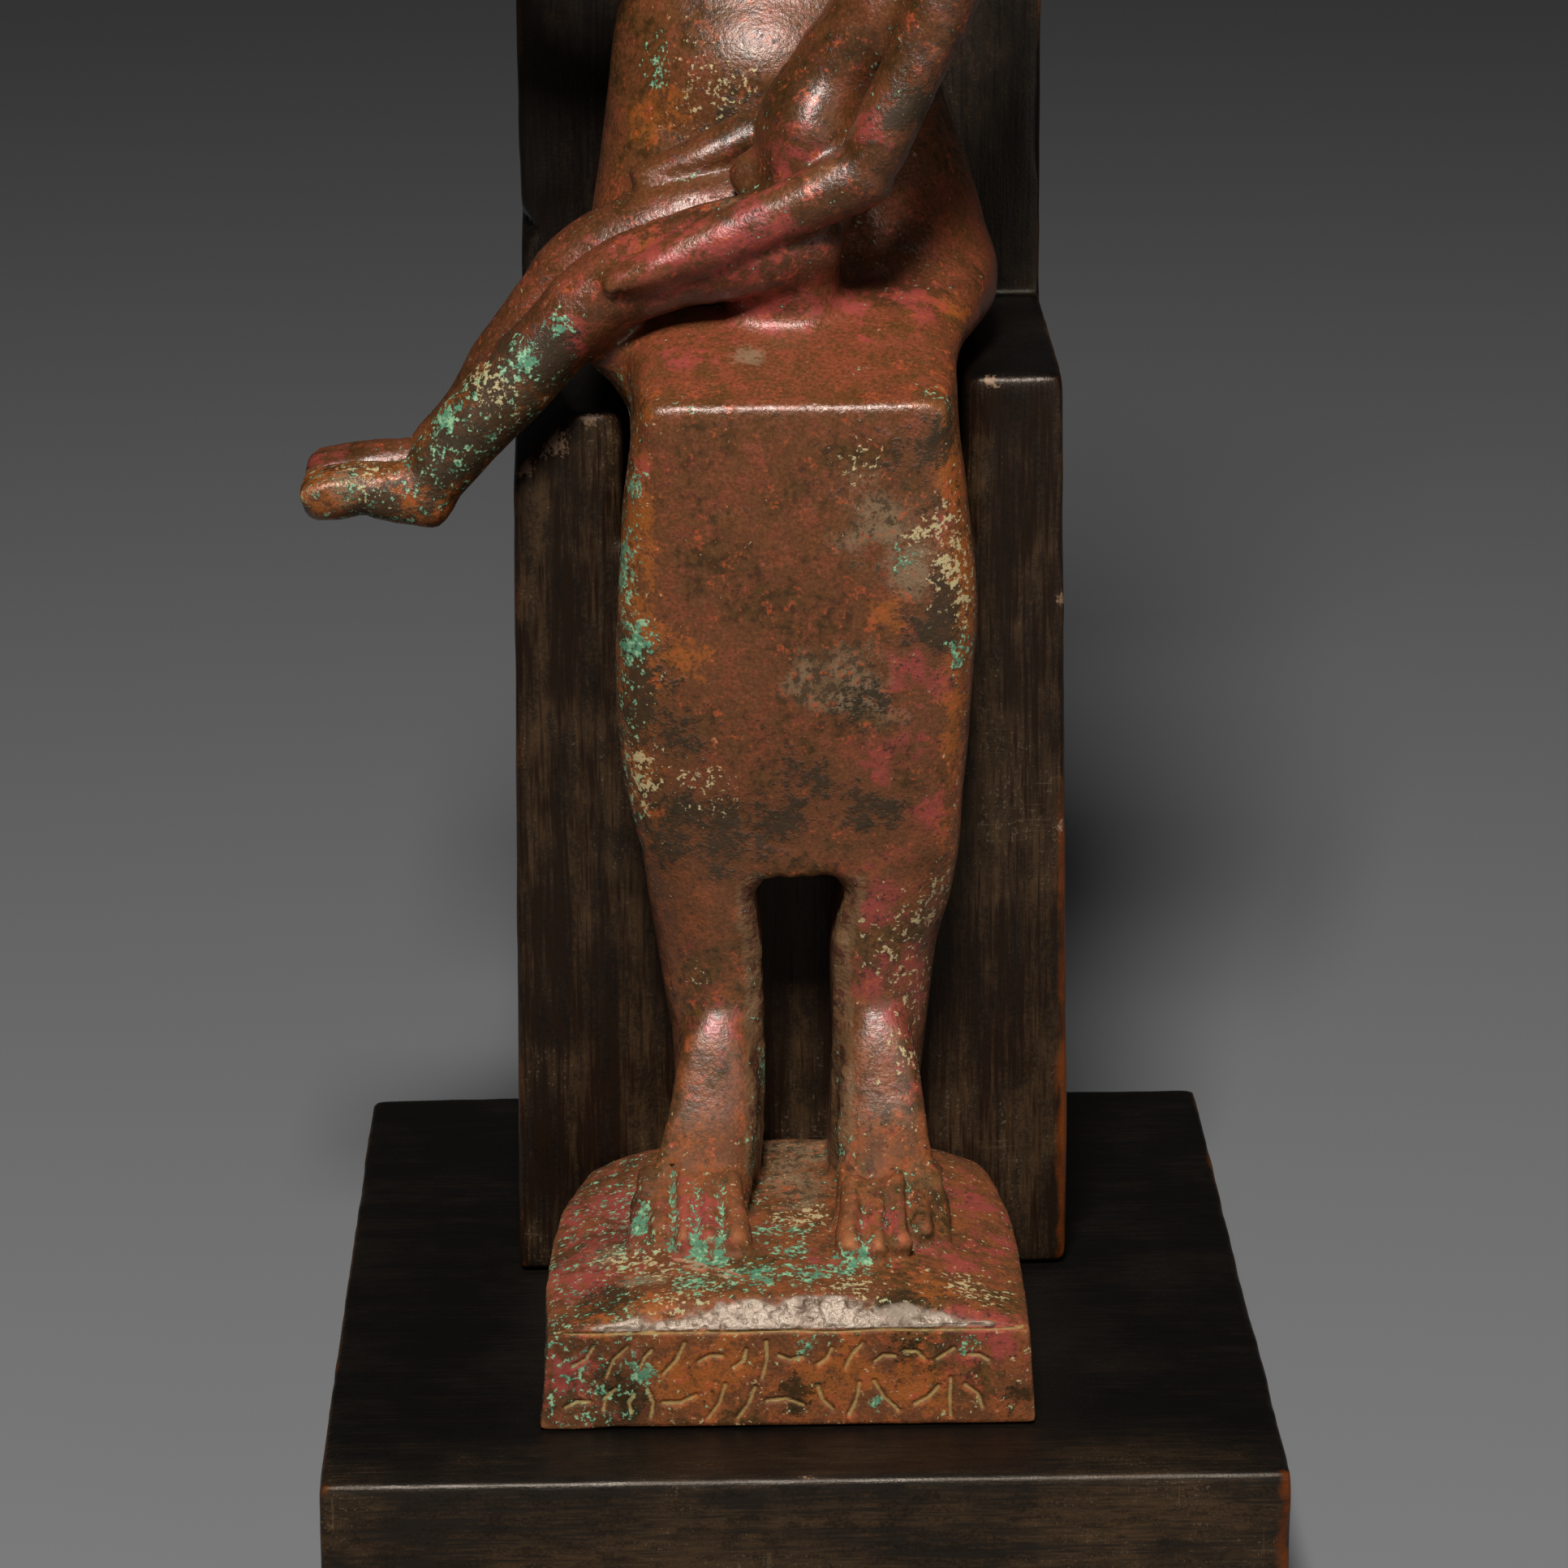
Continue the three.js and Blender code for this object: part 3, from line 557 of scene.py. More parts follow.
def torso_parts():
    def at(units):
        return HIP + units * UNIT

    body = stack(
        [
            [HIP - 2.5, 0.4, 15.5, 3, 30, 2.8],
            [HIP, 0.35, HIP_HALF, 2.5, 30.6, 2.6],
            [at(0.4), 0.3, 16.9, 4, 30.4, 2.5],
            [at(0.8), 0, 15.8, 7, 29.8, 2.4],
            [at(1.25), -0.6, 14.4, 9.4, 29.4, 2.4],
            [at(1.7), -0.8, 13.4, 10.8, 29, 2.3],
            [at(2.2), -0.8, 11.9, 12.8, 28, 2.3],
            [WAIST, -0.7, 10.9, 14, 27.2, 2.3],
            [at(3.3), -0.6, 11.8, 13.8, 27.2, 2.3],
            [at(4), -0.5, 13.8, 12.4, 28, 2.4],
            [at(4.7), -0.4, 16, 12.2, 28.6, 2.5],
            [SHOULDER - 2, -0.3, 17.6, 13.5, 28, 2.4],
            [SHOULDER + 2.5, -0.4, 15.6, 15.8, 26.5, 2.3],
            [SHOULDER + 6, -0.5, 9, 16.5, 25, 2.2],
            [SHOULDER + 9, -0.5, 5, 16.5, 24, 2],
        ]
    )
    yield body, 2.0
    yield ellipsoid([-1.6, 15.4, at(1.42)], [10, 7, 7.4]), 2.0
    for sign in (-1, 1):
        yield ellipsoid([HEAD["x"] + sign * 6.8, 14.9, at(3.9)], [5.4, 4.9, 5.4]), 2.4
    neck = stack(
        [
            [SHOULDER + 4, HEAD["x"], 5.4, 15.8, 25.5, 2],
            [CHIN + 1, HEAD["x"], 4.7, 15, 24, 2],
            [CHIN + 6, HEAD["x"], 5, 14, 24, 2],
        ]
    )
    yield neck, 1.0


def head_level(share):
    """A level between her chin, at 0, and the crown of her wig, at 1."""
    return CHIN + share * (CROWN - CHIN)


def face_parts():
    x, y, half, front = HEAD["x"], HEAD["y"], HEAD["half"], HEAD["front"]
    at = head_level
    skull = stack(
        [
            [CHIN, x, half * 0.3, front + 1.6, y - 1, 2],
            [at(0.05), x, half * 0.55, front + 0.6, y + 2, 2.1],
            [at(0.13), x, half * 0.76, front + 0.2, y + 4, 2.2],
            [at(0.27), x, half * 0.92, front, y + 6, 2.2],
            [at(0.45), x, half, front + 0.3, y + 6, 2.2],
            [at(0.62), x, half, front + 0.4, y + 6, 2.2],
            [at(0.75), x, half * 0.82, front + 3, y + 4, 2.2],
        ]
    )
    yield skull, 0.8
    nose = limb(
        [
            [x, front + 0.6, at(0.43), 0.8, 0.7],
            [x, front - 0.9, at(0.26), 1.3, 1],
        ],
        side=(1, 0, 0),
        step=0.4,
    )
    yield nose, 1.0
    for sign in (-1, 1):
        for z, thick in ((at(0.385), 0.9), (at(0.455), 0.4)):
            feature = [
                [x + sign * 1.7, front + 0.5, z, 0.4, 0.3],
                [x + sign * 3.7, front + 0.6, z + 0.3, 0.8, thick],
                [x + sign * 5.4, front + 1.4, z + 0.2, 0.75, thick * 0.75],
                [x + sign * 6.7, front + 2.5, z - 0.1, 0.4, 0.3],
            ]
            yield limb(feature, step=0.3), 0.2
    for z, half_mouth in ((at(0.18), 2.4), (at(0.143), 1.9)):
        lip = [
            [x - half_mouth, front + 0.5, z, 0.3, 0.3],
            [x, front - 0.1, z, 0.8, 0.6],
            [x + half_mouth, front + 0.5, z, 0.3, 0.3],
        ]
        yield limb(lip, step=0.3), 0.15


def wig_parts():
    x, y, half, front = HEAD["x"], HEAD["y"], HEAD["half"], HEAD["front"]
    back, wig = HEAD["back"], HEAD["wig"]
    at = head_level
    crown = stack(
        [
            [at(0.48), x, wig - 0.2, front + 5, back + 1, 2.2],
            [at(0.58), x, wig, front - 0.7, back + 1.4, 2.2],
            [at(0.74), x, wig - 0.8, front - 0.2, back + 1.2, 2.2],
            [at(0.89), x, wig - 3.4, front + 1.8, back - 1, 2.1],
            [at(0.98), x, wig - 7.6, y - 6, y + 6, 2],
        ]
    )
    yield crown, 0.4
    behind = stack(
        [
            [SHOULDER - 6, x, wig - 3.4, y + 6.5, back + 0.6, 3],
            [SHOULDER + 4, x, wig - 2.2, y + 4, back + 1.2, 3],
            [CHIN, x, wig - 1, y, back + 1.4, 2.8],
            [at(0.54), x, wig - 0.3, y - 2, back + 1, 2.4],
        ]
    )
    yield behind, 0.5
    for sign in (-1, 1):
        lappet = limb(
            [
                [x + sign * (wig - 3.1), y - 3.6, at(0.58), 3.1, 5],
                [x + sign * (wig - 3), y - 3.8, at(0.2), 3.3, 4.6],
                [x + sign * (wig - 4.4), 13, SHOULDER + 4, 4.5, 3.4],
                [x + sign * (wig - 5.6), 11.4, SHOULDER - 9, 4, 2.4],
            ],
            side=(1, 0, 0),
        )
        yield lappet, 0.4
        over_shoulder = limb(
            [
                [x + sign * (wig - 3.4), y + 1, at(0.55), 3.2, 6],
                [x + sign * (wig - 3.4), y + 0.5, CHIN - 2, 3.4, 7],
                [x + sign * (wig - 4), y + 0.5, SHOULDER + 3, 3.6, 7],
            ],
            side=(1, 0, 0),
        )
        yield over_shoulder, 0.8
        yield ellipsoid([x + sign * (half + 1), front + 3.6, at(0.38)], [1.7, 1.4, 3.1]), 0.4
    cobra = limb(
        [
            [x, front - 0.4, at(0.58), 0.9, 0.8],
            [x, front - 1.3, at(0.7), 1.5, 0.9],
            [x, front - 1.9, at(0.8), 0.9, 0.9],
        ],
        side=(1, 0, 0),
        step=0.4,
    )
    yield cobra, 0.3


def headdress_parts():
    x, y = HEAD["x"], HEAD["y"]
    low, high = MODIUS["low"], MODIUS["high"]
    modius = stack(
        [
            [MODIUS["bottom"], x, low, y - low, y + low, 2],
            [MODIUS["top"] - 0.4, x, high, y - high, y + high, 2],
            [MODIUS["top"], x, high - 0.4, y - high + 0.4, y + high - 0.4, 2],
        ]
    )
    yield modius, 0.4
    ring = superellipse(2, 96) * DISC["radius"] + [x, DISC["z"]]
    thick = DISC["thick"] / 2
    yield prism(ring, y - thick, y + thick, (0, 2, 1)), 0.5
    top, root, tip = MODIUS["top"], HORN["root"], HORN["tip"]
    for sign in (-1, 1):
        out, up = sign * HORN["spread"], HORN["height"]
        horn = limb(
            [
                [x + sign * 2.5, y, top + 0.2, 1.8, root],
                [x + out * 0.66, y, top + 1.6, 1.9, root],
                [x + out * 0.97, y, top + up * 0.26, 1.7, root * 0.85],
                [x + out, y, top + up * 0.55, 1.4, root * 0.65],
                [x + out * 0.78, y, top + up, tip, tip],
            ]
        )
        yield horn, 0.3


def arm_parts():
    """Upper arm, forearm and hand of each arm: one to her chest, one around the child."""
    elbow = WAIST - 3.8
    to_chest = [
        [-13.5, 21, SHOULDER + 0.6, 5, 4.4],
        [-20.6, 20.8, SHOULDER - 3.6, 5.4, 5],
        [-24, 20.6, SHOULDER - 19, 4.4, 4.2],
        [-26.2, 18.6, elbow, 3.7, 3.7],
    ]
    chest_forearm = [
        [-26.2, 18.4, elbow, 3.6, 3.7],
        [-16, 9.4, elbow + 6, 3.4, 3.5],
        [-4, 4.8, elbow + 13.6, 2.4, 2.3],
    ]
    chest_hand = [
        [-4.6, 5, elbow + 13.2, 1.7, 2.3],
        [0.5, 4.8, elbow + 16, 1.5, 3],
        [5.5, 5.4, elbow + 18, 1.2, 2.7],
        [8.6, 6.6, elbow + 18.6, 0.9, 2],
    ]
    around_child = [
        [12.5, 21, SHOULDER + 0.6, 5, 4.4],
        [19.8, 21, SHOULDER - 3.6, 5.4, 5],
        [24.4, 22, SHOULDER - 19, 4.4, 4.2],
        [27.4, 23.6, elbow + 2.6, 3.7, 3.7],
    ]
    child_forearm = [
        [27.4, 23.6, elbow + 2.6, 3.7, 3.6],
        [26.8, 13.5, elbow + 1.4, 3.4, 3.2],
        [24.6, 5, elbow + 1.4, 2.4, 2.3],
    ]
    child_hand = [
        [24.8, 5.6, elbow + 1.4, 2.3, 1.8],
        [22.4, 0.4, elbow + 2, 3, 1.6],
        [20.6, -4.2, elbow + 2.6, 2.6, 1.3],
        [19, -7.6, elbow + 3.4, 1.8, 0.9],
    ]
    deep, across, slanting = (0, 1, 0), (1, 0, 0), (1, 0, 0.6)
    for stations, side, blend in (
        (to_chest, deep, 1.5),
        (chest_forearm, deep, 1.5),
        (chest_hand, deep, 0.8),
        (around_child, deep, 1.5),
        (child_forearm, across, 1.5),
        (child_hand, slanting, 0.8),
    ):
        yield limb(stations, side=side), blend


def child_leg_parts(near):
    """One of the child's legs over the edge of her lap, from hip to toes."""
    if near:
        y = CHILD["near"]
        leg = [
            [1.3, y + 0.5, 92.2, 3.7, 4.4],
            [-1.6, y, 91.9, 4.1, 4.4],
            [-5.6, y, 91.1, 4.1, 4.2],
            [-10.4, y, 89.9, 4, 3.8],
            [-14.4, y, 88.2, 3.8, 3.6],
            [-17.3, y, 86.2, 3.6, 3.5],
            [-19.5, y, 83.8, 3.5, 3.2],
            [-22.7, y, 80.4, 3.5, 3.3],
            [-25.9, y, 77, 3.2, 3.1],
            [-28.9, y, 73.4, 3, 3],
        ]
        lowest = 67.9
    else:
        y = CHILD["far"]
        leg = [
            [-1, y, 92.4, 4.1, 4.2],
            [-4.7, y, 92.4, 4, 4.1],
            [-9.5, y, 91.9, 3.9, 3.8],
            [-13.4, y, 90.6, 3.7, 3.6],
            [-17, y, 88.4, 3.6, 3.5],
            [-20, y, 84.9, 3.4, 3.2],
            [-23, y, 80.6, 3.4, 3.2],
            [-26.2, y, 75.8, 3.1, 3],
            [-28.8, y, 72.8, 2.9, 2.9],
        ]
        lowest = 67.6
    yield limb(leg, step=0.6), 0.45
    sole = lowest + 1.2
    foot = [
        [-29.8, y, lowest + 3, 2.7, 2.9],
        [-33.4, y, sole + 2.2, 2.8, 2.6],
        [-35.3, y, sole + 2.5, 3, 2.2],
        [-37.4, y, sole + 2.1, 3.1, 2.3],
        [-39, y, sole + 2, 3.1, 2.1],
    ]
    yield limb(foot, power=2.4, step=0.4), 0.9
    for i in range(5):
        across = y + (i - 2) * 1.28
        toe = [
            [-36.4, across, sole + 3.3, 0.7, 0.8],
            [-38.6, across, sole + 2.9, 0.72, 0.9],
            [-39.9 + 0.16 * i, across, sole + 2.2, 0.74, 1.1],
        ]
        yield limb(toe, step=0.4), 0.2


def child_arm_parts():
    """Upper arm, then forearm and hand, of the near arm and of the far arm."""
    near, far = -6.8, 6.2
    near_upper = [
        [13.4, near + 1.2, 115, 3, 3.2],
        [10.9, near + 0.5, 108.5, 2.8, 2.8],
        [8.4, near + 0.1, 103, 2.7, 2.6],
        [6.9, near, 99.6, 2.5, 2.5],
    ]
    near_lower = [
        [6.4, near, 98, 2.4, 2.6],
        [0, near - 0.3, 95.1, 2.3, 2.4],
        [-5.8, near - 0.4, 92.6, 2.2, 2.3],
        [-10.6, near - 0.5, 90.7, 2.2, 1.8],
        [-14.4, near - 0.5, 89.3, 1.6, 1.1],
    ]
    far_upper = [
        [13, far - 0.6, 114, 3, 3.2],
        [9.5, far, 107, 2.7, 2.8],
        [4, far + 0.3, 102, 2.4, 2.4],
    ]
    far_lower = [
        [4, far + 0.2, 101.6, 2.5, 2.5],
        [-2.5, far - 0.2, 99, 2.3, 2.2],
        [-7.2, far - 0.5, 97.2, 2.5, 1.8],
        [-12.2, far - 0.8, 95.6, 1.9, 1.1],
    ]
    for stations, step, blend in (
        (near_upper, 0.5, 0.35),
        (near_lower, 0.5, 0.35),
        (far_upper, STEP, 0.4),
        (far_lower, 0.5, 0.35),
    ):
        yield limb(stations, step=step), blend


def child_body_parts():
    y, hip = CHILD["y"], CHILD["hip"]
    seat = stack(
        [
            [KNEE + 3.6, -0.8, 4.9, -4.4, 6.4, 2.8],
            [KNEE + 8, -0.2, 4.4, -5.8, 6.6, 2.8],
            [KNEE + 13, 0.9, 4.3, -5.8, 6.2, 2.6],
            [KNEE + 17, 1.8, 4.2, -5.4, 5.8, 2.4],
            [KNEE + 20, 2.2, 3.9, -5, 5.6, 2.3],
        ]
    )
    yield seat, 2.0
    yield limb(
        [
            [1.6, y, KNEE + 15, 5.4, 4],
            [2.4, y, KNEE + 19.6, 5.4, 4.2],
            [4.4, y, KNEE + 24.6, 5.1, 4],
            [hip + 8.4, y, KNEE + 30.4, 5.9, 4.4],
            [hip + 12.1, y, KNEE + 35.4, 4.6, 3.2],
        ]
    ), 1.6
    yield ellipsoid([1.6, y - 0.8, 101], [3.6, 5.4, 4.4]), 2.0
    yield ellipsoid([-3.1, y - 1, 96.9], [1.8, 1.6, 1.9]), 1.1


def child_head_parts():
    """The child's neck, head, nose, eyes and sidelock."""
    y, hip = CHILD["y"], CHILD["hip"]
    yield limb([[hip + 12.3, y, KNEE + 36, 2.9, 2.9], [hip + 15.7, y, KNEE + 41, 2.8, 2.8]]), 0.8
    yield limb(
        [
            [hip + 14.3, y, KNEE + 42.4, 3.8, 4],
            [hip + 17.3, y, KNEE + 44.8, 5.3, 5.6],
            [hip + 20.3, y, KNEE + 47.4, 4.7, 4.9],
        ]
    ), 0.8
    yield ellipsoid([hip + 13.6, y, KNEE + 48.6], [1.1, 0.8, 1.1]), 0.5
    for sign in (-1, 1):
        yield ellipsoid([hip + 15.2, y + sign * 2.2, KNEE + 49.4], [1.1, 1.1, 0.7]), 0.2
    yield limb(
        [
            [hip + 20.3, y + 4.6, KNEE + 46, 1.3, 1.5],
            [hip + 19.7, y + 6, KNEE + 40, 1.2, 1.3],
            [hip + 16.7, y + 6.6, KNEE + 36, 1, 1],
        ]
    ), 0.3


def child_parts():
    yield from child_body_parts()
    yield from child_head_parts()
    yield from child_leg_parts(near=True)
    yield from child_leg_parts(near=False)
    # The metal that fills in between the two knees
    web = [[-17, 0.6, 85.6, 4, 2.6], [-14.4, 0.4, 83, 4.2, 2.8], [-10.5, 0.4, 80, 5, 3.4]]
    yield limb(web), 1.6
    yield from child_arm_parts()


def bronze_casting():
    casting = Casting((-44, -38, -1.5), (34, 34, 244))
    casting.add(skirt(), 0.1)
    casting.cut(gap_between_legs(), 0.4)
    for sign in (-1, 1):
        casting.add(foot(sign), 1.6)
    for sign in (-1, 1):
        for toe in toes(sign):
            casting.add(toe, 0.25)
        for stations in toe_grooves(sign):
            casting.cut(limb(stations, side=(1, 0, 0), step=0.4), 0.15)
    casting.add(footrest(), 0.3)
    for mesh in thighs():
        casting.add(mesh, 0.5)
    for parts in (torso_parts, face_parts, wig_parts, headdress_parts, arm_parts, child_parts):
        for mesh, blend in parts():
            casting.add(mesh, blend)
    casting.soften()
    return casting


# The wooden throne and base
def tapered_block(low_y, high_y, top):
    """A part of the throne, narrowing a little up to the seat."""
    rings = []
    for z in (0, THRONE["seat_top"], top):
        half = THRONE["width"] / 2 - THRONE["taper"] * min(1, z / THRONE["seat_top"])
        rings.append([[-half, low_y, z], [half, low_y, z], [half, high_y, z], [-half, high_y, z]])
    return loft(rings)


def cut_corner():
    """The slanting piece that the left arm has lost from its front corner."""
    outer = -(THRONE["width"] / 2 - THRONE["taper"])
    corners = np.array(
        [
            [outer + LEFT_ARM["across"], 0, LEFT_ARM["top"]],
            [outer, 0, LEFT_ARM["top"] - LEFT_ARM["down"]],
            [outer, LEFT_ARM["back"], LEFT_ARM["top"] + 1],
        ]
    )
    away = np.cross(corners[1] - corners[0], corners[2] - corners[0])
    away *= np.sign(away[2]) / np.linalg.norm(away)
    middle = corners.mean(axis=0)
    wide = middle + (corners - middle) * 5
    return loft([wide, wide + away * 10, wide + away * 20])


def throne_casting():
    depth, seat_top = THRONE["depth"], THRONE["seat_top"]
    casting = Casting((-28, -4, -1.6), (28, 44, 136), WOOD_VOXEL)
    casting.add(tapered_block(0, depth, seat_top), 0.05)
    casting.add(tapered_block(BACKREST_Y, depth, THRONE["back_top"]), 0.05)
    slope = [
        (-6, LEFT_ARM["top"] - 0.5),
        (BACKREST_Y, seat_top + 0.05),
        (BACKREST_Y, seat_top + 9),
        (-6, seat_top + 9),
    ]
    casting.cut(prism(slope, -30, NOTCH["centre"] - NOTCH["half"] + 2, (1, 2, 0)), 0.3)
    casting.cut(cut_corner(), 0.3)
    left, right = NOTCH["centre"] - NOTCH["half"], NOTCH["centre"] + NOTCH["half"]
    casting.cut(cuboid((left, -6, NOTCH["floor"]), (right, BACKREST_Y, seat_top + 9)), 2.2)
    for place, radii in THRONE_CHIPS:
        casting.cut(ellipsoid(place, radii), 0.5)
    casting.wear(0.9, seed=4)
    return casting


def base_casting():
    across, deep, high = BASE["width"] / 2, BASE["depth"] / 2, BASE["height"]
    casting = Casting((-43, -49, -high - 2), (43, 49, 3), WOOD_VOXEL)
    casting.add(cuboid((-across, -deep, -high), (across, deep, 0)), 0.05)
    for place, radii in BASE_CHIPS:
        casting.cut(ellipsoid(place, radii), 0.5)
    casting.wear(0.9, seed=9)
    return casting


# Turning numpy meshes into Blender pieces
LIFT = BASE["height"]


def piece(name, points, faces, material, body="root"):
    """A Blender object from millimetres above the base, in metres in the row's frame."""
    mesh = bpy.data.meshes.new(name)
    points = (np.asarray(points) + [0, 0, LIFT]) / 1000
    mesh.from_pydata(points.tolist(), [], faces)
    mesh.update()
    mesh.shade_smooth()
    made = bpy.data.objects.new(name, mesh)
    bpy.context.scene.collection.objects.link(made)
    made.data.materials.append(material)
    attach(made, body)
    return made


def spots(obj):
    """A piece's vertices, in millimetres above the base's top, and their normals."""
    count = len(obj.data.vertices) * 3
    points = np.empty(count, np.float32)
    normals = np.empty(count, np.float32)
    obj.data.vertices.foreach_get("co", points)
    obj.data.vertex_normals.foreach_get("vector", normals)
    return points.reshape(-1, 3) * 1000 - [0, 0, LIFT], normals.reshape(-1, 3)


def place_at(obj, points):
    obj.data.vertices.foreach_set("co", ((points + [0, 0, LIFT]) / 1000).ravel())
    obj.data.update()


def push(obj, shift):
    """Move each vertex along its normal, by the millimetres that shift gives."""
    points, normals = spots(obj)
    place_at(obj, points + normals * shift(points)[:, None])


def keep_inside(obj, node):
    """Bring the vertices that pass the CAD piece's box back to it."""
    low, high = (np.array(corner) * 1000 - [0, 0, LIFT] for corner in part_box(node))
    place_at(obj, np.clip(spots(obj)[0], low, high))


def mark(obj, name, values):
    layer = obj.data.attributes.new(name, "FLOAT", "POINT")
    layer.data.foreach_set("value", np.asarray(values, np.float32))


def refine(obj, wanted, cuts):
    """Divide the faces whose middles are wanted into smaller ones."""
    grid = bmesh.new()
    grid.from_mesh(obj.data)
    edges = {edge for face in grid.faces if wanted(face.calc_center_median()) for edge in face.edges}
    bmesh.ops.subdivide_edges(grid, edges=list(edges), cuts=cuts, use_grid_fill=True)
    grid.to_mesh(obj.data)
    grid.free()
    obj.data.update()


def apply_modifiers(obj):
    graph = bpy.context.evaluated_depsgraph_get()
    done = bpy.data.meshes.new_from_object(obj.evaluated_get(graph))
    obj.modifiers.clear()
    old = obj.data
    obj.data = done
    bpy.data.meshes.remove(old)


def thin_out(obj, most, keep=None):
    """Bring a mesh down to a number of triangles, with more of them where keep is near 1."""
    count = sum(len(p.vertices) - 2 for p in obj.data.polygons)
    if count <= most:
        return
    step = obj.modifiers.new("thin", "DECIMATE")
    step.ratio = most / count
    if keep is not None:
        points, normals = spots(obj)
        weights = np.round(keep(points, normals), 1)
        group = obj.vertex_groups.new(name="keep")
        for weight in np.unique(weights):
            group.add(np.flatnonzero(weights == weight).tolist(), float(weight), "REPLACE")
        step.vertex_group = "keep"
        step.invert_vertex_group = True
        step.vertex_group_factor = 1.0
    apply_modifiers(obj)
    obj.vertex_groups.clear()
    obj.data.shade_smooth()


# The bronze's skin: casting bumps, corrosion, the worn strip, chisel marks and wig strands
def ramp(values, low, high):
    share = np.clip((values - low) / (high - low), 0, 1)
    return share * share * (3 - 2 * share)


def distance_to_path(points, path):
    path = np.asarray(path, float)
    nearest = np.full(len(points), 99.0)
    for a, b in zip(path[:-1], path[1:]):
        along = b - a
        t = np.clip((points - a) @ along / (along @ along), 0, 1)
        nearest = np.minimum(nearest, np.linalg.norm(points - a - t[:, None] * along, axis=1))
    return nearest


def chisel_marks():
    """Short marks in two rows along the footrest's front, each a bent line through x, z."""
    rng = np.random.default_rng(12)
    marks = []
    for row, start in ((2.4, -19.3), (6.1, -18.6)):
        x = start
        while x < 15.5:
            half = rng.uniform(0.8, 1.7)
            slant = rng.uniform(-1.5, 1.5)
            bow = rng.uniform(-0.4, 0.4)
            z = row + rng.uniform(-0.3, 0.3)
            reach = half * math.sin(slant)
            rise = half * math.cos(slant)
            x += abs(reach)
            bent = (x + bow * math.cos(slant), z - bow * math.sin(slant))
            marks.append([(x - reach, z - rise), bent, (x + reach, z + rise)])
            x += abs(reach) + rng.uniform(0.9, 1.4)
    return marks


MARK_HALF = 0.3
MARK_DEPTH = 0.17
BORDER_Z = 8.42
BORDER_HALF = 0.22
BORDER_DEPTH = 0.2
SCAR_HEIGHT = 0.22
STRAND_DEPTH = 0.14
STRANDS = 56
# The footrest's front, where the marks are: how deep behind its face, and its top
PANEL_DEPTH = 1.7
PANEL_TOP = 12.5


def mark_share(points):
    """1 along the middle of a chisel mark, falling to 0 at its sides."""
    share = np.zeros(len(points))
    front = (points[:, 1] < REST_FRONT_Y + 0.7) & (points[:, 2] < BORDER_Z + 1)
    flat = points[front][:, [0, 2]]
    nearest = np.full(len(flat), 99.0)
    for path in chisel_marks():
        nearest = np.minimum(nearest, distance_to_path(flat, path))
    share[front] = np.clip(1 - nearest / MARK_HALF, 0, 1)
    return share


def border_share(points):
    """The incised line that closes the front panel above."""
    front = points[:, 1] < REST_FRONT_Y + 0.7
    waver = 0.12 * noise_at(points * [1, 0, 0], 4.0, 33)
    away = np.abs(points[:, 2] - BORDER_Z - waver)
    return np.where(front, np.clip(1 - away / BORDER_HALF, 0, 1), 0)


def pits(points):
    wide = ramp(noise_at(points, 1.5, 6) + 0.5 * noise_at(points, 0.7, 7), 0.1, 0.9)
    return 0.7 * wide + 0.3 * ramp(noise_at(points, 0.45, 8), 0.1, 0.8)


def strip_share(points):
    """The rubbed and pitted strip along the footrest's upper front edge."""
    x, y, z = points.T
    ragged = 0.35 * noise_at(points, 1.8, 41) + 0.15 * noise_at(points, 0.8, 42)
    limit = -33.0 - 1.5 * np.abs((x - 0.4) / 16.5) ** 1.3 + ragged
    behind = ramp(y, limit + 0.3, limit - 0.3)
    above = ramp(z, BORDER_Z + 0.05, BORDER_Z + 0.35)
    return above * behind


# Raised lines on the footrest before the toes of the left foot, each half a width and x, y points
SCARS = [
    (0.35, [(-10.8, -24.6), (-8.0, -26.6), (-5.0, -29.2)]),
    (0.3, [(-9.6, -26.4), (-7.4, -28.2), (-5.6, -29.8)]),
]


def scar_share(points):
    """1 along the middle of a raised line, falling to 0 at its sides."""
    on_top = ramp(points[:, 2], 9.4, 9.8) * ramp(points[:, 1], -24, -25)
    flat = points[:, :2]
    share = np.zeros(len(points))
    for half, path in SCARS:
        share = np.maximum(share, np.clip(1 - distance_to_path(flat, path) / half, 0, 1))
    return share * np.where(points[:, 2] < 12.2, 1, 0) * np.maximum(on_top, 0.4)


def gap_edge_share(points):
    """The rough cut strips down the legs' inner front edges, and round the gap's top."""
    x, y, z = points.T
    levels = np.array(GAP_LEVELS)
    sides = curve(levels[:, 0], levels[:, 1:3], np.clip(z, levels[0, 0], levels[-1, 0]))
    left = np.abs(x - sides[:, 0] + GAP_CHAMFER / 2)
    right = np.abs(x - sides[:, 1] - GAP_CHAMFER / 2)
    beside = np.clip(1.5 - np.minimum(left, right), 0, 1)
    over = np.clip(1.2 - np.abs(z - HEM + 0.4) / 1.1, 0, 1) * (np.abs(x - 0.3) < 4.5)
    in_front = (y < -8.5) & (y > -16) & (z > 13) & (z < HEM + 1.5)
    return np.where(in_front, np.maximum(beside * (z < HEM), over), 0)


def groove_share(points):
    """1 in the grooves between the toes."""
    x, y, z = points.T
    share = np.zeros(len(points))
    for sign in (-1, 1):
        for stations in toe_grooves(sign):
            middle, back = stations[0][:2]
            front = stations[-1][1]
            along = ramp(y, back + 0.4, back - 0.6) * ramp(y, front - 1, front)
            share = np.maximum(share, ramp(np.abs(x - middle), 0.7, 0.3) * along)
    return share * (z > SOLE) * (z < SOLE + 7)


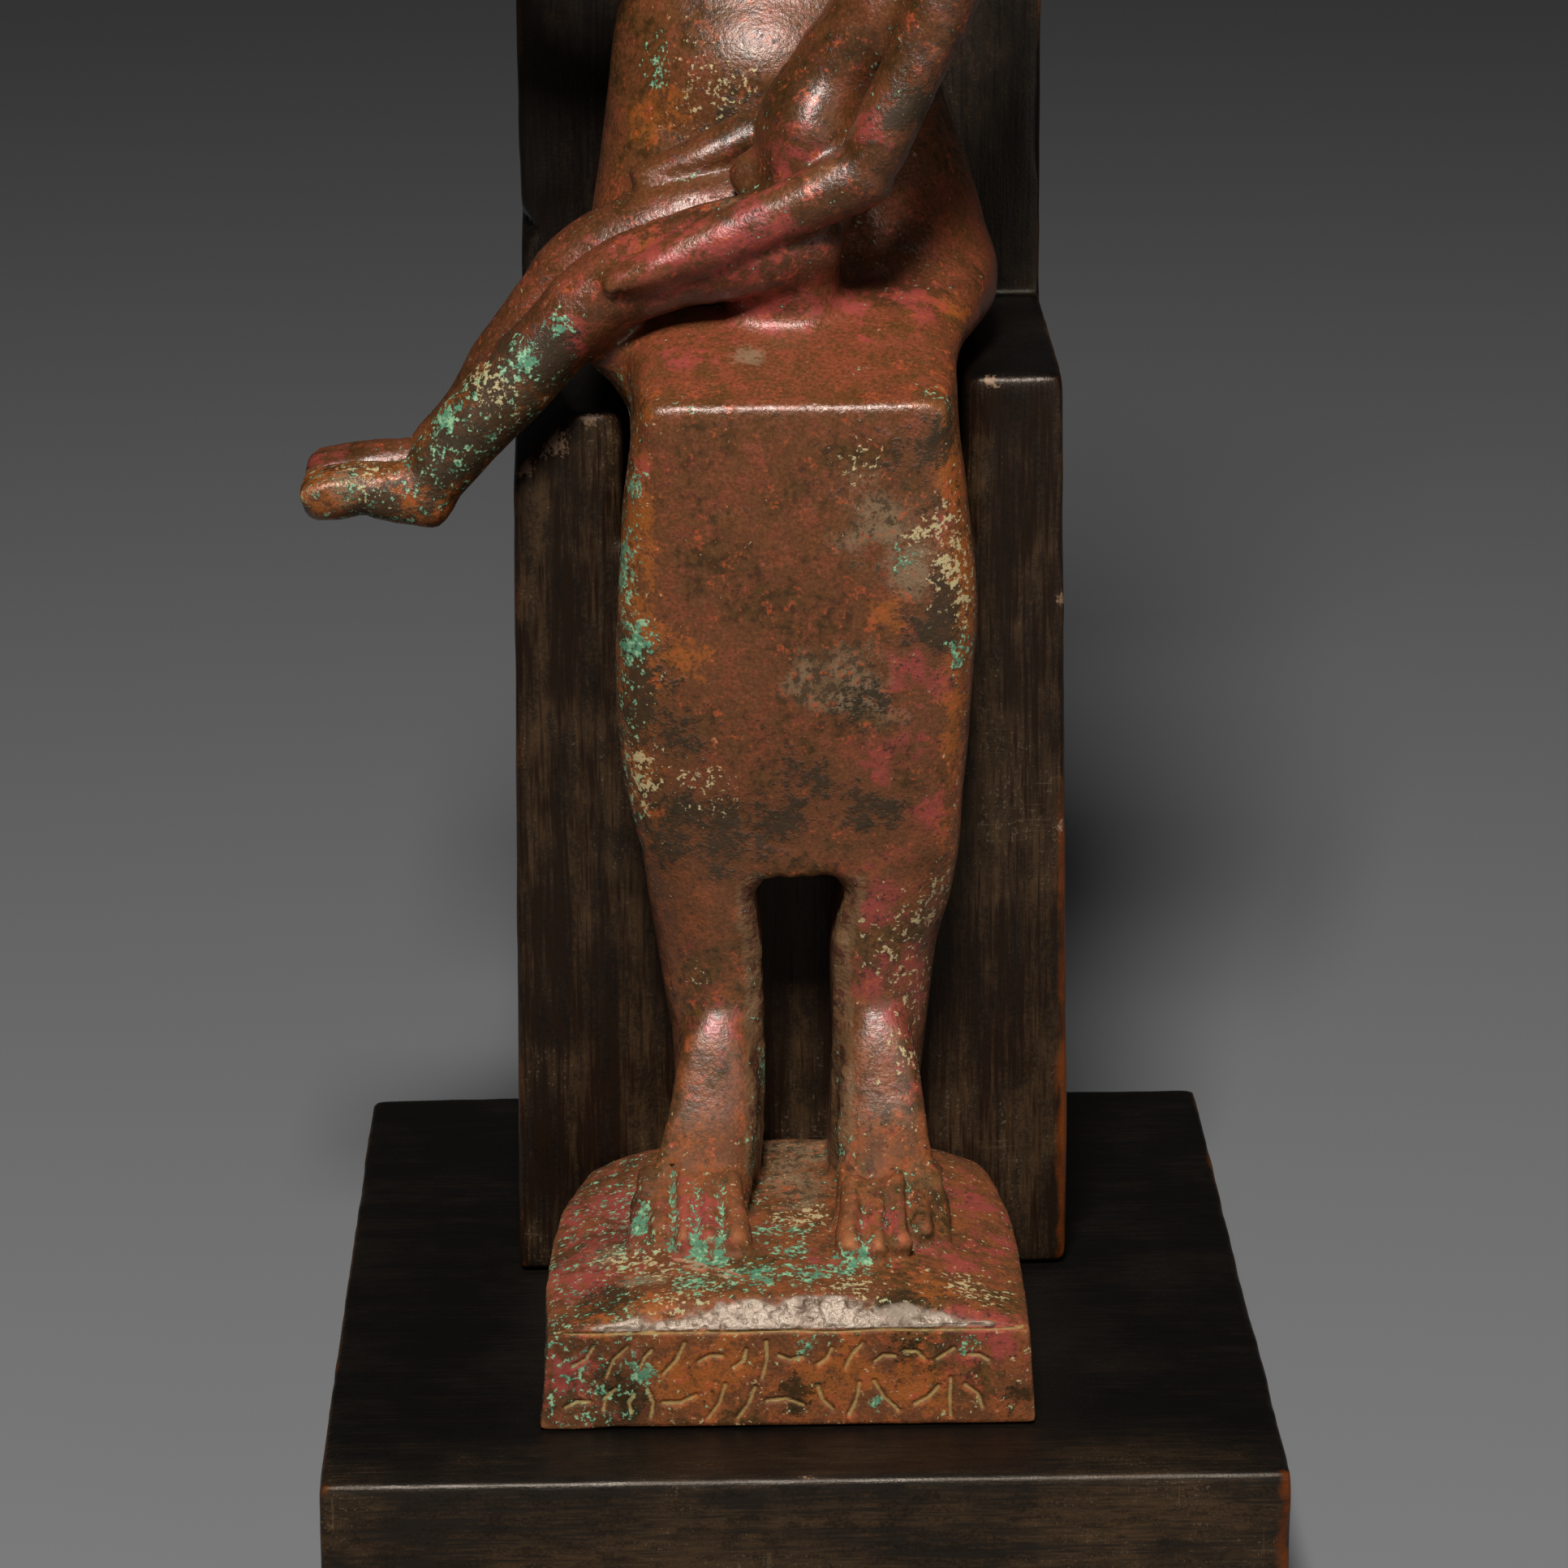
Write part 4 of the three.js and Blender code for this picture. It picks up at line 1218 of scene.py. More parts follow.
def skirt_side_share(points):
    """The skirt's two front corners and the legs' outer sides."""
    x, y, z = points.T
    return ramp(np.abs(x - FIGURE_X), 9.5, 13) * ramp(z, 20, 40) * ramp(z, 84, 80) * (y < -1)


def crusted_share(points):
    """The toes and the footrest's top, where the crust is thick and dull."""
    x, y, z = points.T
    on_feet = ramp(z, SOLE + 11, SOLE + 6) * ramp(y, -12, -13.5)
    on_rest = ramp(z, SOLE + 3, SOLE + 1) * (y > REST_FRONT_Y + 0.8)
    return np.maximum(on_feet, on_rest) * (1 - strip_share(points))


def on_child(points):
    """1 on the child and its legs, 0 on the goddess."""
    x, y, z = points.T
    legs = ramp(x, -11.5, -13.5) * ramp(z, 96, 94) * (y < 9)
    body = (z > 86) & (z < 142) & (y < 7.6) & (np.abs(x) < 23)
    return np.maximum(legs, body * 1.0)


def wig_strands(points):
    """Grooves that run down the wig, from a wave round the head."""
    x, y, z = points[:, 0] - HEAD["x"], points[:, 1] - HEAD["y"], points[:, 2]
    face_edge = CHIN + 0.58 * (CROWN - CHIN)
    hanging = (z > SHOULDER - 8) & (z < face_edge) & ((np.abs(x) > HEAD["half"] + 1.4) | (y > 3))
    on_top = (z >= face_edge) & (z < CROWN - 2.5)
    below_wig = (z < SHOULDER + 2) & (np.hypot(x, y) > HEAD["wig"] + 4)
    wave = np.cos(np.arctan2(x, y + 1) * STRANDS)
    return np.where((hanging | on_top) & ~below_wig, np.clip(-wave, 0, 1), 0)


def bronze_skin(points):
    """How far the cast surface stands out or is eaten away, in millimetres."""
    child = on_child(points)
    uneven = 0.09 * noise_at(points, 6.0, 1) + 0.03 * noise_at(points, 2.4, 2)
    fine = 0.012 * noise_at(points, 0.9, 3)
    shift = uneven * (1 + 1.5 * child) + fine * (1 + 4 * child) - 0.05
    patchy = ramp(noise_at(points, 8.0, 4), -0.1, 0.5)
    shift -= 0.14 * patchy * ramp(noise_at(points, 1.4, 5), 0.38, 0.8)
    shift -= strip_share(points) * (0.06 + 0.3 * pits(points) + 0.14 * noise_at(points, 2.8, 9))
    edge = gap_edge_share(points)
    shift += edge * (0.22 * noise_at(points, 0.9, 8) - 0.08)
    shift -= MARK_DEPTH * np.sqrt(mark_share(points))
    shift -= BORDER_DEPTH * border_share(points)
    shift += SCAR_HEIGHT * scar_share(points)
    shift -= STRAND_DEPTH * wig_strands(points)
    return shift


def bronze_keep(points, normals):
    """Where triangles are wanted: 1 on the footrest's front and the faces, less elsewhere."""
    x, y, z = points.T
    front = (y < REST_FRONT_Y + PANEL_DEPTH) & (z < PANEL_TOP)
    face = (np.abs(x - HEAD["x"]) < HEAD["half"] - 1) & (y < 12) & (z > CHIN - 1) & (z < CROWN - 14)
    child_face = (y < 7) & (np.abs(x - CHILD["hip"] - 14) < 4) & (np.abs(z - KNEE - 48) < 4)
    facing = ramp(normals[:, 1], 0.5, -0.2) * ramp(z, 150, 100)
    return np.where(front | face | child_face, 1.0, 0.2 + 0.5 * facing)


def wood_skin(points):
    return 0.05 * noise_at(points, 7.0, 21) + 0.03 * noise_at(points, 2.0, 22) - 0.05


# Soft-edged patches of colour, each (x, y, z, radius)
PATCHES = {
    "green": [
        (-9, -15, 81, 1.6), (11, -14, 82, 1.9), (-13, -14, 74, 0.9), (-13, -13, 67, 1.6),
        (-13, -14, 61, 1.6), (5, -16, 72, 0.9), (9, -15, 68, 2.0), (14, -14, 60, 1.4),
        (8, -13, 41, 0.6), (6, -11, 83, 1.2), (-28, -6, 78, 1.0), (-22, -7, 83, 1.3),
        (-19, -7, 86, 1.2), (-11, 12, 104, 2.1), (-13, -20, 12, 1.3), (-8, -26, 11, 1.8),
        (-8, -30, 11, 2.8), (-4, -29, 11, 2.6), (1, -29, 11, 2.4), (4, -27, 11, 1.8),
        (-1, -20, 11, 2.0), (10, -12, 17, 0.8), (-3, -10, 22, 1.6), (0, -24, 11, 1.8),
        (-13, -35, 5, 1.0), (1, -35, 7, 1.2), (13, -35, 7, 1.0), (6, -35, 2, 0.8),
        (-25, 16, 132, 2.0), (12, 12, 152, 1.6), (-12, 8, 176, 1.8), (9, 26, 190, 2.6),
        (26, 20, 140, 1.8), (-6, 30, 120, 3.0), (4, 17, 214, 1.6), (20, 3, 127, 1.2),
    ],
    "pale": [
        (-9, -30, 11, 3.4), (14, -29, 10, 2.0), (9, -12, 32, 5.4), (-13, -13, 49, 2.4),
        (13, -14, 66, 2.6), (5, -16, 76, 2.0), (-6, 10, 102, 4.0), (-35, -6, 73, 1.8),
        (-25, -6, 81, 2.8), (11, -15, 70, 2.0), (-12, -26, 10, 2.0), (0, -18, 12, 2.4),
        (-8, -14, 49, 2.6), (10, -12, 24, 3.4), (12, -11, 36, 3.0), (-9, -13, 31, 1.6),
        (-14, -24, 10, 2.6), (4, -31, 11, 2.0), (-22, 18, 146, 3.0), (6, 12, 146, 2.6),
        (14, 30, 160, 4.0), (-10, 9, 150, 2.4), (0, 16, 208, 2.6), (-14, 24, 112, 3.0),
    ],
    "grey": [
        (5, -15, 57, 3.4), (1, -15, 58, 2.4), (7, -16, 71, 3.8), (-3, -9, 84, 1.5),
        (10, -15, 67, 2.2), (-5, -5, 95, 1.4), (-36, -6, 72, 1.8), (0, -3, 12, 4.4),
        (0, -9, 12, 4.0), (0, -14, 12, 2.6), (-16, -22, 10, 2.0), (-13, -28, 10, 1.8),
    ],
    "rose": [
        (10, -15, 58, 2.6), (8, -15, 52, 2.6), (7, -13, 37, 4.0), (12, -15, 71, 1.6),
        (-9, -9, 83, 2.0), (-16, -19, 10, 3.0), (-19, -24, 9, 2.0), (1, -26, 11, 1.8),
        (15, -35, 8, 3.0), (-20, -35, 5, 1.8), (11, -1, 86, 2.6), (1, -5, 99, 2.2),
        (7, -9, 102, 1.8), (-10, -8, 93, 3.2), (-3, -9, 93, 3.6), (-7, -21, 13, 2.0),
        (-39, 1, 72, 2.4), (-7, -12, 27, 2.0), (-18, -7, 85, 1.8), (15, -11, 10, 2.8),
        (12, -14, 46, 2.8), (-10, -13, 33, 1.8), (4, -13, 39, 1.8), (-2, -3, 87, 4.0),
        (5, -4, 86, 3.0), (-11, -13, 76, 2.0), (-13, -12, 24, 1.6), (8, -12, 30, 5.0),
        (9, -12, 22, 3.0), (-14, -12, 11, 4.0), (-17, -27, 10, 2.6), (-11, -12, 28, 2.2),
        (13, -24, 10, 1.8), (17, -20, 10, 2.2), (-9, -22, 13, 3.0), (8, -23, 13, 2.6),
        (-24, 20, 154, 3.6), (10, 12, 136, 3.4), (0, 30, 170, 5.0), (24, 22, 128, 3.0),
        (12, 8, 188, 2.4), (-6, 17, 218, 3.0), (14, 4, 116, 2.4),
    ],
    "dark_and_shadow": [
        (11, -15, 77, 2.8), (12, -15, 66, 2.2), (12, -15, 62, 3.0), (-12, -14, 58, 2.4),
        (-10, -15, 53, 2.6), (-9, -14, 44, 4.4), (-5, -14, 43, 4.2), (-1, -14, 46, 3.6),
        (6, -14, 46, 2.6), (2, -14, 49, 2.4), (6, -15, 56, 2.0), (-22, -7, 83, 2.6),
        (-5, 10, 100, 2.8), (10, -9, 104, 2.0), (-16, -30, 10, 2.6), (8, -33, 10, 2.4),
        (-13, -14, 55, 2.0), (-30, -6, 74, 1.8), (-7, 6, 96, 2.0), (11, -22, 12, 1.6),
        # The first three patches here are painted shadow: her right hip darkened where the child shades
        # it
        (13, 18, 101, 5.0), (14, 22, 94, 5.0), (9, 12, 104, 4.0), (-27, -7, 75, 3.6),
        (-24, -7, 79, 3.6), (-20, -7, 83, 3.0), (0, 8, 94, 2.4), (-34, -7, 71, 2.4),
        (-14, -35, 3, 1.8), (0, -35, 3, 1.6), (9, -35, 6, 1.8), (18, -35, 3, 1.6),
        (-27, 18, 124, 3.0), (4, 12, 130, 3.0), (12, 28, 130, 5.0), (-10, 6, 164, 3.0),
        (8, 20, 196, 4.0), (22, 20, 150, 3.4), (-14, 18, 240, 3.0),
    ],
    "gold": [
        (13, 0, 85, 2.8), (13, -14, 76, 1.8), (14, -14, 66, 1.4), (-8, -12, 18, 3.2),
        (7, -12, 18, 3.2), (-15, -31, 10, 4.0), (11, -31, 10, 3.4), (-6, -35, 5, 3.6),
        (2, -35, 4, 4.2), (-11, -6, 92, 2.2), (-11, 12, 100, 2.8), (-13, -13, 72, 1.4),
        (-14, -13, 58, 1.4), (10, -12, 30, 2.0), (-9, -15, 59, 2.6), (8, -15, 63, 2.0),
        (-9, -35, 4, 4.0), (9, -35, 4, 4.0),
    ],
}


def patch_share(points, patches, seed):
    """How deep each point lies in the nearest patch, with edges made ragged by noise."""
    ragged = np.stack([noise_at(points, 2.6, seed + i) for i in range(3)], 1)
    ragged += 0.5 * np.stack([noise_at(points, 1.1, seed + 3 + i) for i in range(3)], 1)
    share = np.zeros(len(points), np.float32)
    for x, y, z, radius in patches:
        apart = (points - [x, y, z] + ragged * radius * 0.55) / radius
        share = np.maximum(share, np.exp(-0.8 * np.minimum((apart**2).sum(axis=1), 30)))
    return share


def mark_bronze(figure, casting):
    """Write down where each colour of the bronze belongs, for its material to read."""
    points = spots(figure)[0]
    for seed, (name, patches) in enumerate(PATCHES.items()):
        mark(figure, name, patch_share(points, patches, 50 + 10 * seed))
    mark(figure, "bulge", casting.bulge(points))
    mark(figure, "strip", strip_share(points))
    mark(figure, "pits", pits(points))
    mark(figure, "chased", np.maximum(mark_share(points), border_share(points)))
    mark(figure, "scar", scar_share(points))
    mark(figure, "rough", gap_edge_share(points))
    mark(figure, "side", skirt_side_share(points))
    mark(figure, "crusted", crusted_share(points))
    mark(figure, "groove", groove_share(points) * np.where(points[:, 0] < 0, 1, 0.5))
    mark(figure, "child", on_child(points))
    mark(figure, "lap", ramp(points[:, 2], KNEE - 1, KNEE + 1) * ramp(points[:, 2], 96, 92))
    # Below the skirt's middle: this lightens the colour there as painted light, and also sets gloss and
    # roughness
    mark(figure, "low", ramp(points[:, 2], HEM + 10, HEM - 8))


# Materials
def plain(name, colour, roughness):
    material = bpy.data.materials.new(name)
    material.use_nodes = True
    shader = material.node_tree.nodes["Principled BSDF"]
    shader.inputs["Base Color"].default_value = (*colour, 1)
    shader.inputs["Roughness"].default_value = roughness
    return material


# Under these lights a surface shows its own colour times the gain, plus the haze
GAIN = 1.45
HAZE = 0.004


def colour_of(*shown):
    """The surface's own colour, from what a screen shows under these lights, out of 255."""
    light = [((v / 255 + 0.055) / 1.055) ** 2.4 if v > 10 else v / 255 / 12.92 for v in shown]
    return tuple(max(0.001, (v - HAZE) / GAIN) for v in light)


class Paint:
    """A material made of layers of colour, each let through by a mask."""

    def __init__(self, name, colour):
        self.material = bpy.data.materials.new(name)
        self.material.use_nodes = True
        self.tree = self.material.node_tree
        self.shader = self.tree.nodes["Principled BSDF"]
        self.place = self.make("ShaderNodeTexCoord").outputs["Object"]
        self.colour = colour_of(*colour)

    def make(self, kind, **settings):
        node = self.tree.nodes.new(kind)
        for name, value in settings.items():
            setattr(node, name, value)
        return node

    def put(self, socket, value):
        if isinstance(value, bpy.types.NodeSocket):
            self.tree.links.new(value, socket)
        elif isinstance(value, tuple) and socket.type == "RGBA":
            socket.default_value = (*value, 1)
        else:
            socket.default_value = value

    def sum(self, *parts):
        """Values times numbers, added up: each part is a number or a pair of them."""
        total = None
        for part in parts:
            value, times = part if isinstance(part, tuple) else (part, 1.0)
            node = self.make("ShaderNodeMath", operation="MULTIPLY_ADD")
            self.put(node.inputs[0], value)
            self.put(node.inputs[1], times)
            self.put(node.inputs[2], 0.0 if total is None else total)
            total = node.outputs[0]
        return total

    def of_two(self, operation, a, b):
        node = self.make("ShaderNodeMath", operation=operation)
        self.put(node.inputs[0], a)
        self.put(node.inputs[1], b)
        return node.outputs[0]

    def times(self, a, b):
        return self.of_two("MULTIPLY", a, b)

    def most(self, a, b):
        return self.of_two("MAXIMUM", a, b)

    def soft(self, value, low, high, start=0.0, end=1.0):
        """start below low, end above high, and smooth between."""
        node = self.make("ShaderNodeMapRange", interpolation_type="SMOOTHSTEP")
        self.put(node.inputs["Value"], value)
        self.put(node.inputs["From Min"], low)
        self.put(node.inputs["From Max"], high)
        self.put(node.inputs["To Min"], start)
        self.put(node.inputs["To Max"], end)
        return node.outputs["Result"]

    def share(self, name):
        return self.make("ShaderNodeAttribute", attribute_name=name).outputs["Fac"]

    def grain(self, size, detail=3.0, stretch=(1, 1, 1), shift=0.0):
        """Noise from 0 to 1, its features some millimetres apart, made longer where stretch is small."""
        place = self.make("ShaderNodeMapping")
        self.put(place.inputs["Vector"], self.place)
        place.inputs["Scale"].default_value = stretch
        place.inputs["Location"].default_value = (shift, shift, shift)
        noise = self.make("ShaderNodeTexNoise")
        self.put(noise.inputs["Vector"], place.outputs["Vector"])
        noise.inputs["Scale"].default_value = 1000 / size
        noise.inputs["Detail"].default_value = detail
        noise.inputs["Roughness"].default_value = 0.6
        return self.soft(noise.outputs["Fac"], 0.3, 0.7)

    def layer(self, colour, amount):
        """Cover what is there with a colour, as far as amount lets it through."""
        node = self.make("ShaderNodeMix", data_type="RGBA")
        self.put(node.inputs["Factor"], amount)
        self.put(node.inputs[6], self.colour)
        self.put(node.inputs[7], colour_of(*colour))
        self.colour = node.outputs[2]

    def finish(self, roughness, metallic, bump, depth):
        """Connect the colour and the rest; depth is the bump's height in millimetres."""
        self.put(self.shader.inputs["Base Color"], self.colour)
        self.put(self.shader.inputs["Roughness"], roughness)
        self.put(self.shader.inputs["Metallic"], metallic)
        node = self.make("ShaderNodeBump")
        node.inputs["Strength"].default_value = 1.0
        node.inputs["Distance"].default_value = depth / 1000
        self.put(node.inputs["Height"], bump)
        self.put(self.shader.inputs["Normal"], node.outputs["Normal"])
        return self.material


def bronze_material():
    paint = Paint("bronze", (104, 63, 37))
    share = {name: paint.share(name) for name in PATCHES}
    bulge = paint.share("bulge")
    strip = paint.share("strip")
    child = paint.share("child")
    side = paint.share("side")
    crusted = paint.share("crusted")
    lap = paint.share("lap")
    low = paint.share("low")
    gap_edge = paint.share("rough")
    wide = paint.grain(7, 4, shift=0.1)
    middle = paint.grain(2.2, 5, shift=0.2)
    small = paint.grain(0.8, 5, shift=0.3)
    dust = paint.grain(0.3, 3, shift=0.4)
    other = paint.grain(1.6, 6, shift=0.5)
    speck = paint.grain(0.6, 4, shift=0.6)
    hollow = paint.soft(bulge, -0.05, -0.5)

    # Brown metal, mottled from olive to red
    paint.layer((84, 60, 30), paint.soft(paint.sum((wide, 0.8), (small, 0.3)), 0.5, 0.95, 0, 0.7))
    red = paint.sum((middle, 0.55), (small, 0.25), (dust, 0.3), (lap, 0.2))
    paint.layer((136, 66, 44), paint.soft(red, 0.45, 1.0, 0, 0.75))
    # Painted light: warmer, lighter blotches on the lower legs and footrest, standing in for more light
    # there
    paint.layer((150, 84, 40), paint.times(low, paint.soft(middle, 0.2, 0.9, 0, 0.45)))
    olive = paint.soft(paint.sum((wide, 0.7), (small, 0.4)), 0.55, 0.9, 0, 0.6)
    paint.layer((92, 68, 30), paint.times(low, olive))
    paint.layer((62, 40, 26), paint.times(child, paint.soft(wide, 0.2, 0.8, 0.1, 0.6)))
    paint.layer((66, 42, 24), paint.soft(dust, 0.45, 0.05, 0, 0.35))
    paint.layer((150, 96, 58), paint.soft(dust, 0.6, 1.0, 0, 0.2))
    # Orange rust
    rust = paint.sum((share["gold"], 0.6), (side, 0.45), (other, 0.45), (small, 0.25), (dust, 0.2))
    paint.layer((156, 88, 36), paint.soft(rust, 0.68, 1.0, 0, 0.75))
    # Rose red
    rose = paint.sum((share["rose"], 0.5), (crusted, 0.1), (other, 0.5), (small, 0.35), (child, 0.1))
    rose_mask = paint.soft(rose, 0.62, 1.05, 0, 0.8)
    paint.layer((154, 66, 60), rose_mask)
    # Grey crust over the brown
    grey = paint.sum((share["grey"], 0.8), (other, 0.3), (small, 0.25), (dust, 0.2))
    grey_mask = paint.soft(grey, 0.6, 1.1, 0, 0.8)
    paint.layer((136, 112, 84), grey_mask)
    # Dark and orange freckles
    freckles = paint.sum((small, 0.6), (dust, 0.35), (wide, 0.4), (grey_mask, 0.2), (lap, -0.2))
    paint.layer((54, 38, 22), paint.soft(freckles, 0.72, 1.08, 0, 0.8))
    glow = paint.sum((share["gold"], 0.15), (side, 0.12), (grey_mask, 0.1), (wide, 0.2))
    glow = paint.sum(glow, (other, 0.5), (speck, 0.4), (dust, 0.3))
    paint.layer((170, 80, 44), paint.soft(glow, 0.92, 1.2, 0, 0.75))
    # The cut strips beside the gap between the legs
    cut = paint.sum((gap_edge, 0.9), (small, 0.4))
    paint.layer((120, 88, 58), paint.soft(cut, 0.5, 0.9, 0, 0.8))
    paint.layer((70, 26, 18), paint.soft(paint.sum((cut, 0.6), (other, 0.5)), 0.85, 1.1, 0, 0.7))
    # Near-black and olive mottling, with painted shadow on her right hip behind the child
    dark_and_shadow = paint.sum((share["dark_and_shadow"], 0.6), (side, 0.1), (middle, 0.3), (small, 0.35), (dust, 0.3))
    dark_and_shadow_mask = paint.soft(paint.sum(dark_and_shadow, (child, 0.12)), 0.7, 1.06, 0, 0.9)
    paint.layer((46, 36, 16), dark_and_shadow_mask)
    # Pale specks
    pale = paint.sum((share["pale"], 0.34), (side, 0.12), (crusted, 0.12))
    pale = paint.sum(pale, (speck, 0.55), (small, 0.2), (dust, 0.3))
    pale_mask = paint.soft(pale, 0.92, 1.04, 0, 0.85)
    paint.layer((192, 172, 124), pale_mask)
    # Green corrosion, in patches and in hollows
    green = paint.sum((share["green"], 0.46), (hollow, 0.2), (small, 0.4), (speck, 0.2), (dust, 0.3))
    green = paint.sum(green, (child, 0.17), (side, 0.16), (crusted, 0.16), (gap_edge, 0.2))
    green = paint.sum(green, (paint.share("groove"), 0.3))
    green_mask = paint.soft(green, 0.9, 1.03, 0, 0.85)
    paint.layer((84, 140, 108), green_mask)
    chalky = paint.soft(paint.sum((speck, 0.7), (dust, 0.4)), 0.6, 0.9)
    paint.layer((150, 186, 142), paint.times(green_mask, chalky))
    # Darker down in the hollows
    paint.layer((40, 28, 16), paint.soft(bulge, -0.15, -0.7, 0, 0.6))
    # Rubbed edges, the pitted strip and the chisel marks
    rubbed = paint.soft(paint.sum(bulge, (small, 0.08)), 0.26, 0.46, 0, 0.5)
    paint.layer((190, 120, 76), rubbed)
    pitted = paint.soft(paint.sum((strip, 1.0), (small, 0.3)), 0.5, 0.95, 0, 0.85)
    paint.layer((158, 140, 120), pitted)
    pocked = paint.sum((paint.share("pits"), 0.5), (small, 0.4), (other, 0.5))
    pocked = paint.soft(pocked, 0.5, 0.85, 0, 0.95)
    paint.layer((92, 66, 44), paint.times(pitted, pocked))
    chased = paint.soft(paint.sum(paint.share("chased"), (small, 0.4)), 0.45, 1.1, 0, 0.75)
    paint.layer((170, 140, 86), chased)
    paint.layer((188, 128, 100), paint.soft(paint.share("scar"), 0.2, 0.8, 0, 0.7))

    crust = paint.most(paint.most(green_mask, pale_mask), dark_and_shadow_mask)
    satin = paint.sum((middle, 0.08), (dust, 0.1), (low, 0.06), 0.25)
    rough = paint.sum(satin, (crust, 0.28), (rose_mask, 0.06), (gap_edge, 0.1))
    rough = paint.sum(rough, (crusted, 0.3), (pitted, 0.12))
    metal = paint.most(paint.times(pitted, 0.25), paint.times(rubbed, 0.8))
    rocky = paint.times(paint.most(pitted, gap_edge), paint.sum((other, 1.2), (speck, 1.0)))
    bump = paint.sum((dust, 0.5), (small, 0.6), (other, 0.4), (crust, 0.8), (rocky, 1.5))
    gloss = paint.sum((paint.soft(crusted, 0, 1, 0.4, 0.0), 1.0), (low, 0.2))
    paint.put(paint.shader.inputs["Specular IOR Level"], gloss)
    return paint.finish(rough, paint.sum(metal, 0.15), bump, 0.03)


def wood_material(name, along, tone):
    """Blackened wood with its grain along one axis."""
    stretch = tuple(0.05 if axis == along else 1 for axis in range(3))
    across = tuple(0.03 if axis == (2 if along == 0 else 0) else 1 for axis in range(3))
    paint = Paint(name, tone)
    bulge = paint.share("bulge")
    fibres = paint.grain(0.3, 4, stretch, 0.1)
    bands = paint.grain(3, 4, stretch, 0.2)
    cloud = paint.grain(12, 5, shift=0.3)
    mottle = paint.grain(0.9, 5, tuple(0.3 if axis == along else 1 for axis in range(3)), 0.6)
    dust = paint.grain(0.3, 4, shift=0.4)
    cuts = paint.grain(0.3, 2, across, 0.5)
    scuff = paint.share("scuff")

    light = paint.sum((fibres, 0.45), (bands, 0.35), (cloud, 0.4), (mottle, 0.2))
    paint.layer((72, 53, 35), paint.soft(light, 0.5, 1.05, 0, 0.8))
    deep = paint.sum((mottle, 0.5), (dust, 0.3), (fibres, 0.4))
    paint.layer((12, 9, 7), paint.soft(deep, 0.45, 0.95, 0, 0.8))
    specks = paint.sum((dust, 0.6), (cloud, 0.35), (fibres, 0.2))
    paint.layer((104, 84, 62), paint.soft(specks, 0.84, 1.04, 0, 0.5))
    paint.layer((104, 84, 62), paint.soft(paint.sum((cuts, 0.8), (cloud, 0.3)), 1.0, 1.08, 0, 0.25))
    # Painted shade: near black on the faces that look up. Brown on the rubbed edges, and orange-brown
    # down the right front corner
    paint.layer((6, 6, 6), paint.times(paint.share("top"), 0.9))
    # Painted shadow: the backrest above the seat made near black, in blotches
    paint.layer((4, 4, 4), paint.times(paint.share("back"), paint.soft(mottle, 0.9, 0.3, 0.3, 0.8)))
    edges = paint.soft(paint.sum(bulge, (cloud, 0.07), (dust, 0.04)), 0.14, 0.24, 0, 0.8)
    paint.layer((94, 48, 20), edges)
    rubbed = paint.sum((paint.share("corner"), 0.7), (mottle, 0.25), (cloud, 0.3))
    paint.layer((104, 50, 16), paint.soft(rubbed, 0.5, 1.0, 0, 0.9))
    worn = paint.soft(paint.sum((scuff, 0.8), (dust, 0.35), (fibres, 0.2)), 0.7, 1.0, 0, 0.9)
    paint.layer((140, 110, 86), worn)
    paint.shader.inputs["Specular IOR Level"].default_value = 0.25
    paint.shader.inputs["Specular Tint"].default_value = (1.0, 0.85, 0.7, 1)
    rough = paint.sum((fibres, 0.1), (cloud, 0.12), (worn, 0.1), 0.3)
    return paint.finish(rough, 0.0, paint.sum((fibres, 0.5), (dust, 0.5)), 0.02)


# Rubbed places on the wood, each (x, y, z, radius)
SCUFFS = [
    (-20.5, 0, 74.6, 1.8), (-22.6, 1, 72.2, 1.4), (-16.5, 0, 76.6, 1.0), (17, 0, 79.5, 1.2),
    (23.4, 0, 60, 1.0), (23.8, 0, 40, 0.9), (-23.8, 0, 50, 0.8), (0, -44.8, 0, 0.8),
]


def mark_wood(wooden, casting):
    points, normals = spots(wooden)
    mark(wooden, "bulge", casting.bulge(points))
    mark(wooden, "scuff", patch_share(points, SCUFFS, 90))
    x, y, z = points.T
    # Painted shade: the faces that look up are made near black, less so along the base's front edge
    behind_front = ramp(y, -44, -35)
    mark(wooden, "top", ramp(normals[:, 2], 0.6, 0.95) * (0.35 + 0.65 * behind_front))
    # Painted shadow: the backrest above the seat, made near black by the wood's material
    mark(wooden, "back", ramp(y, BACKREST_Y - 2, BACKREST_Y) * (z > THRONE["seat_top"]))
    corner = ramp(x, x.max() - 2.2, x.max()) * ramp(y, y.min() + 1.6, y.min() + 0.4)
    mark(wooden, "corner", corner * ramp(z, 60, 30))


# Floor, light and camera
def floor():
    size = 2.0
    mesh = bpy.data.meshes.new("floor")
    corners = [(-size, -size, 0), (size, -size, 0), (size, size, 0), (-size, size, 0)]
    mesh.from_pydata(corners, [], [(0, 1, 2, 3)])
    made = bpy.data.objects.new("floor", mesh)
    bpy.context.scene.collection.objects.link(made)
    made.data.materials.append(plain("floor", (0.12, 0.12, 0.12), 0.8))


def area_light(name, place, target, size, power):
    light = bpy.data.lights.new(name, "AREA")
    light.shape = "RECTANGLE"
    light.size, light.size_y = size
    light.energy = power
    made = bpy.data.objects.new(name, light)
    made.location = place
    made.rotation_euler = (Vector(target) - Vector(place)).to_track_quat("-Z", "Y").to_euler()
    bpy.context.scene.collection.objects.link(made)


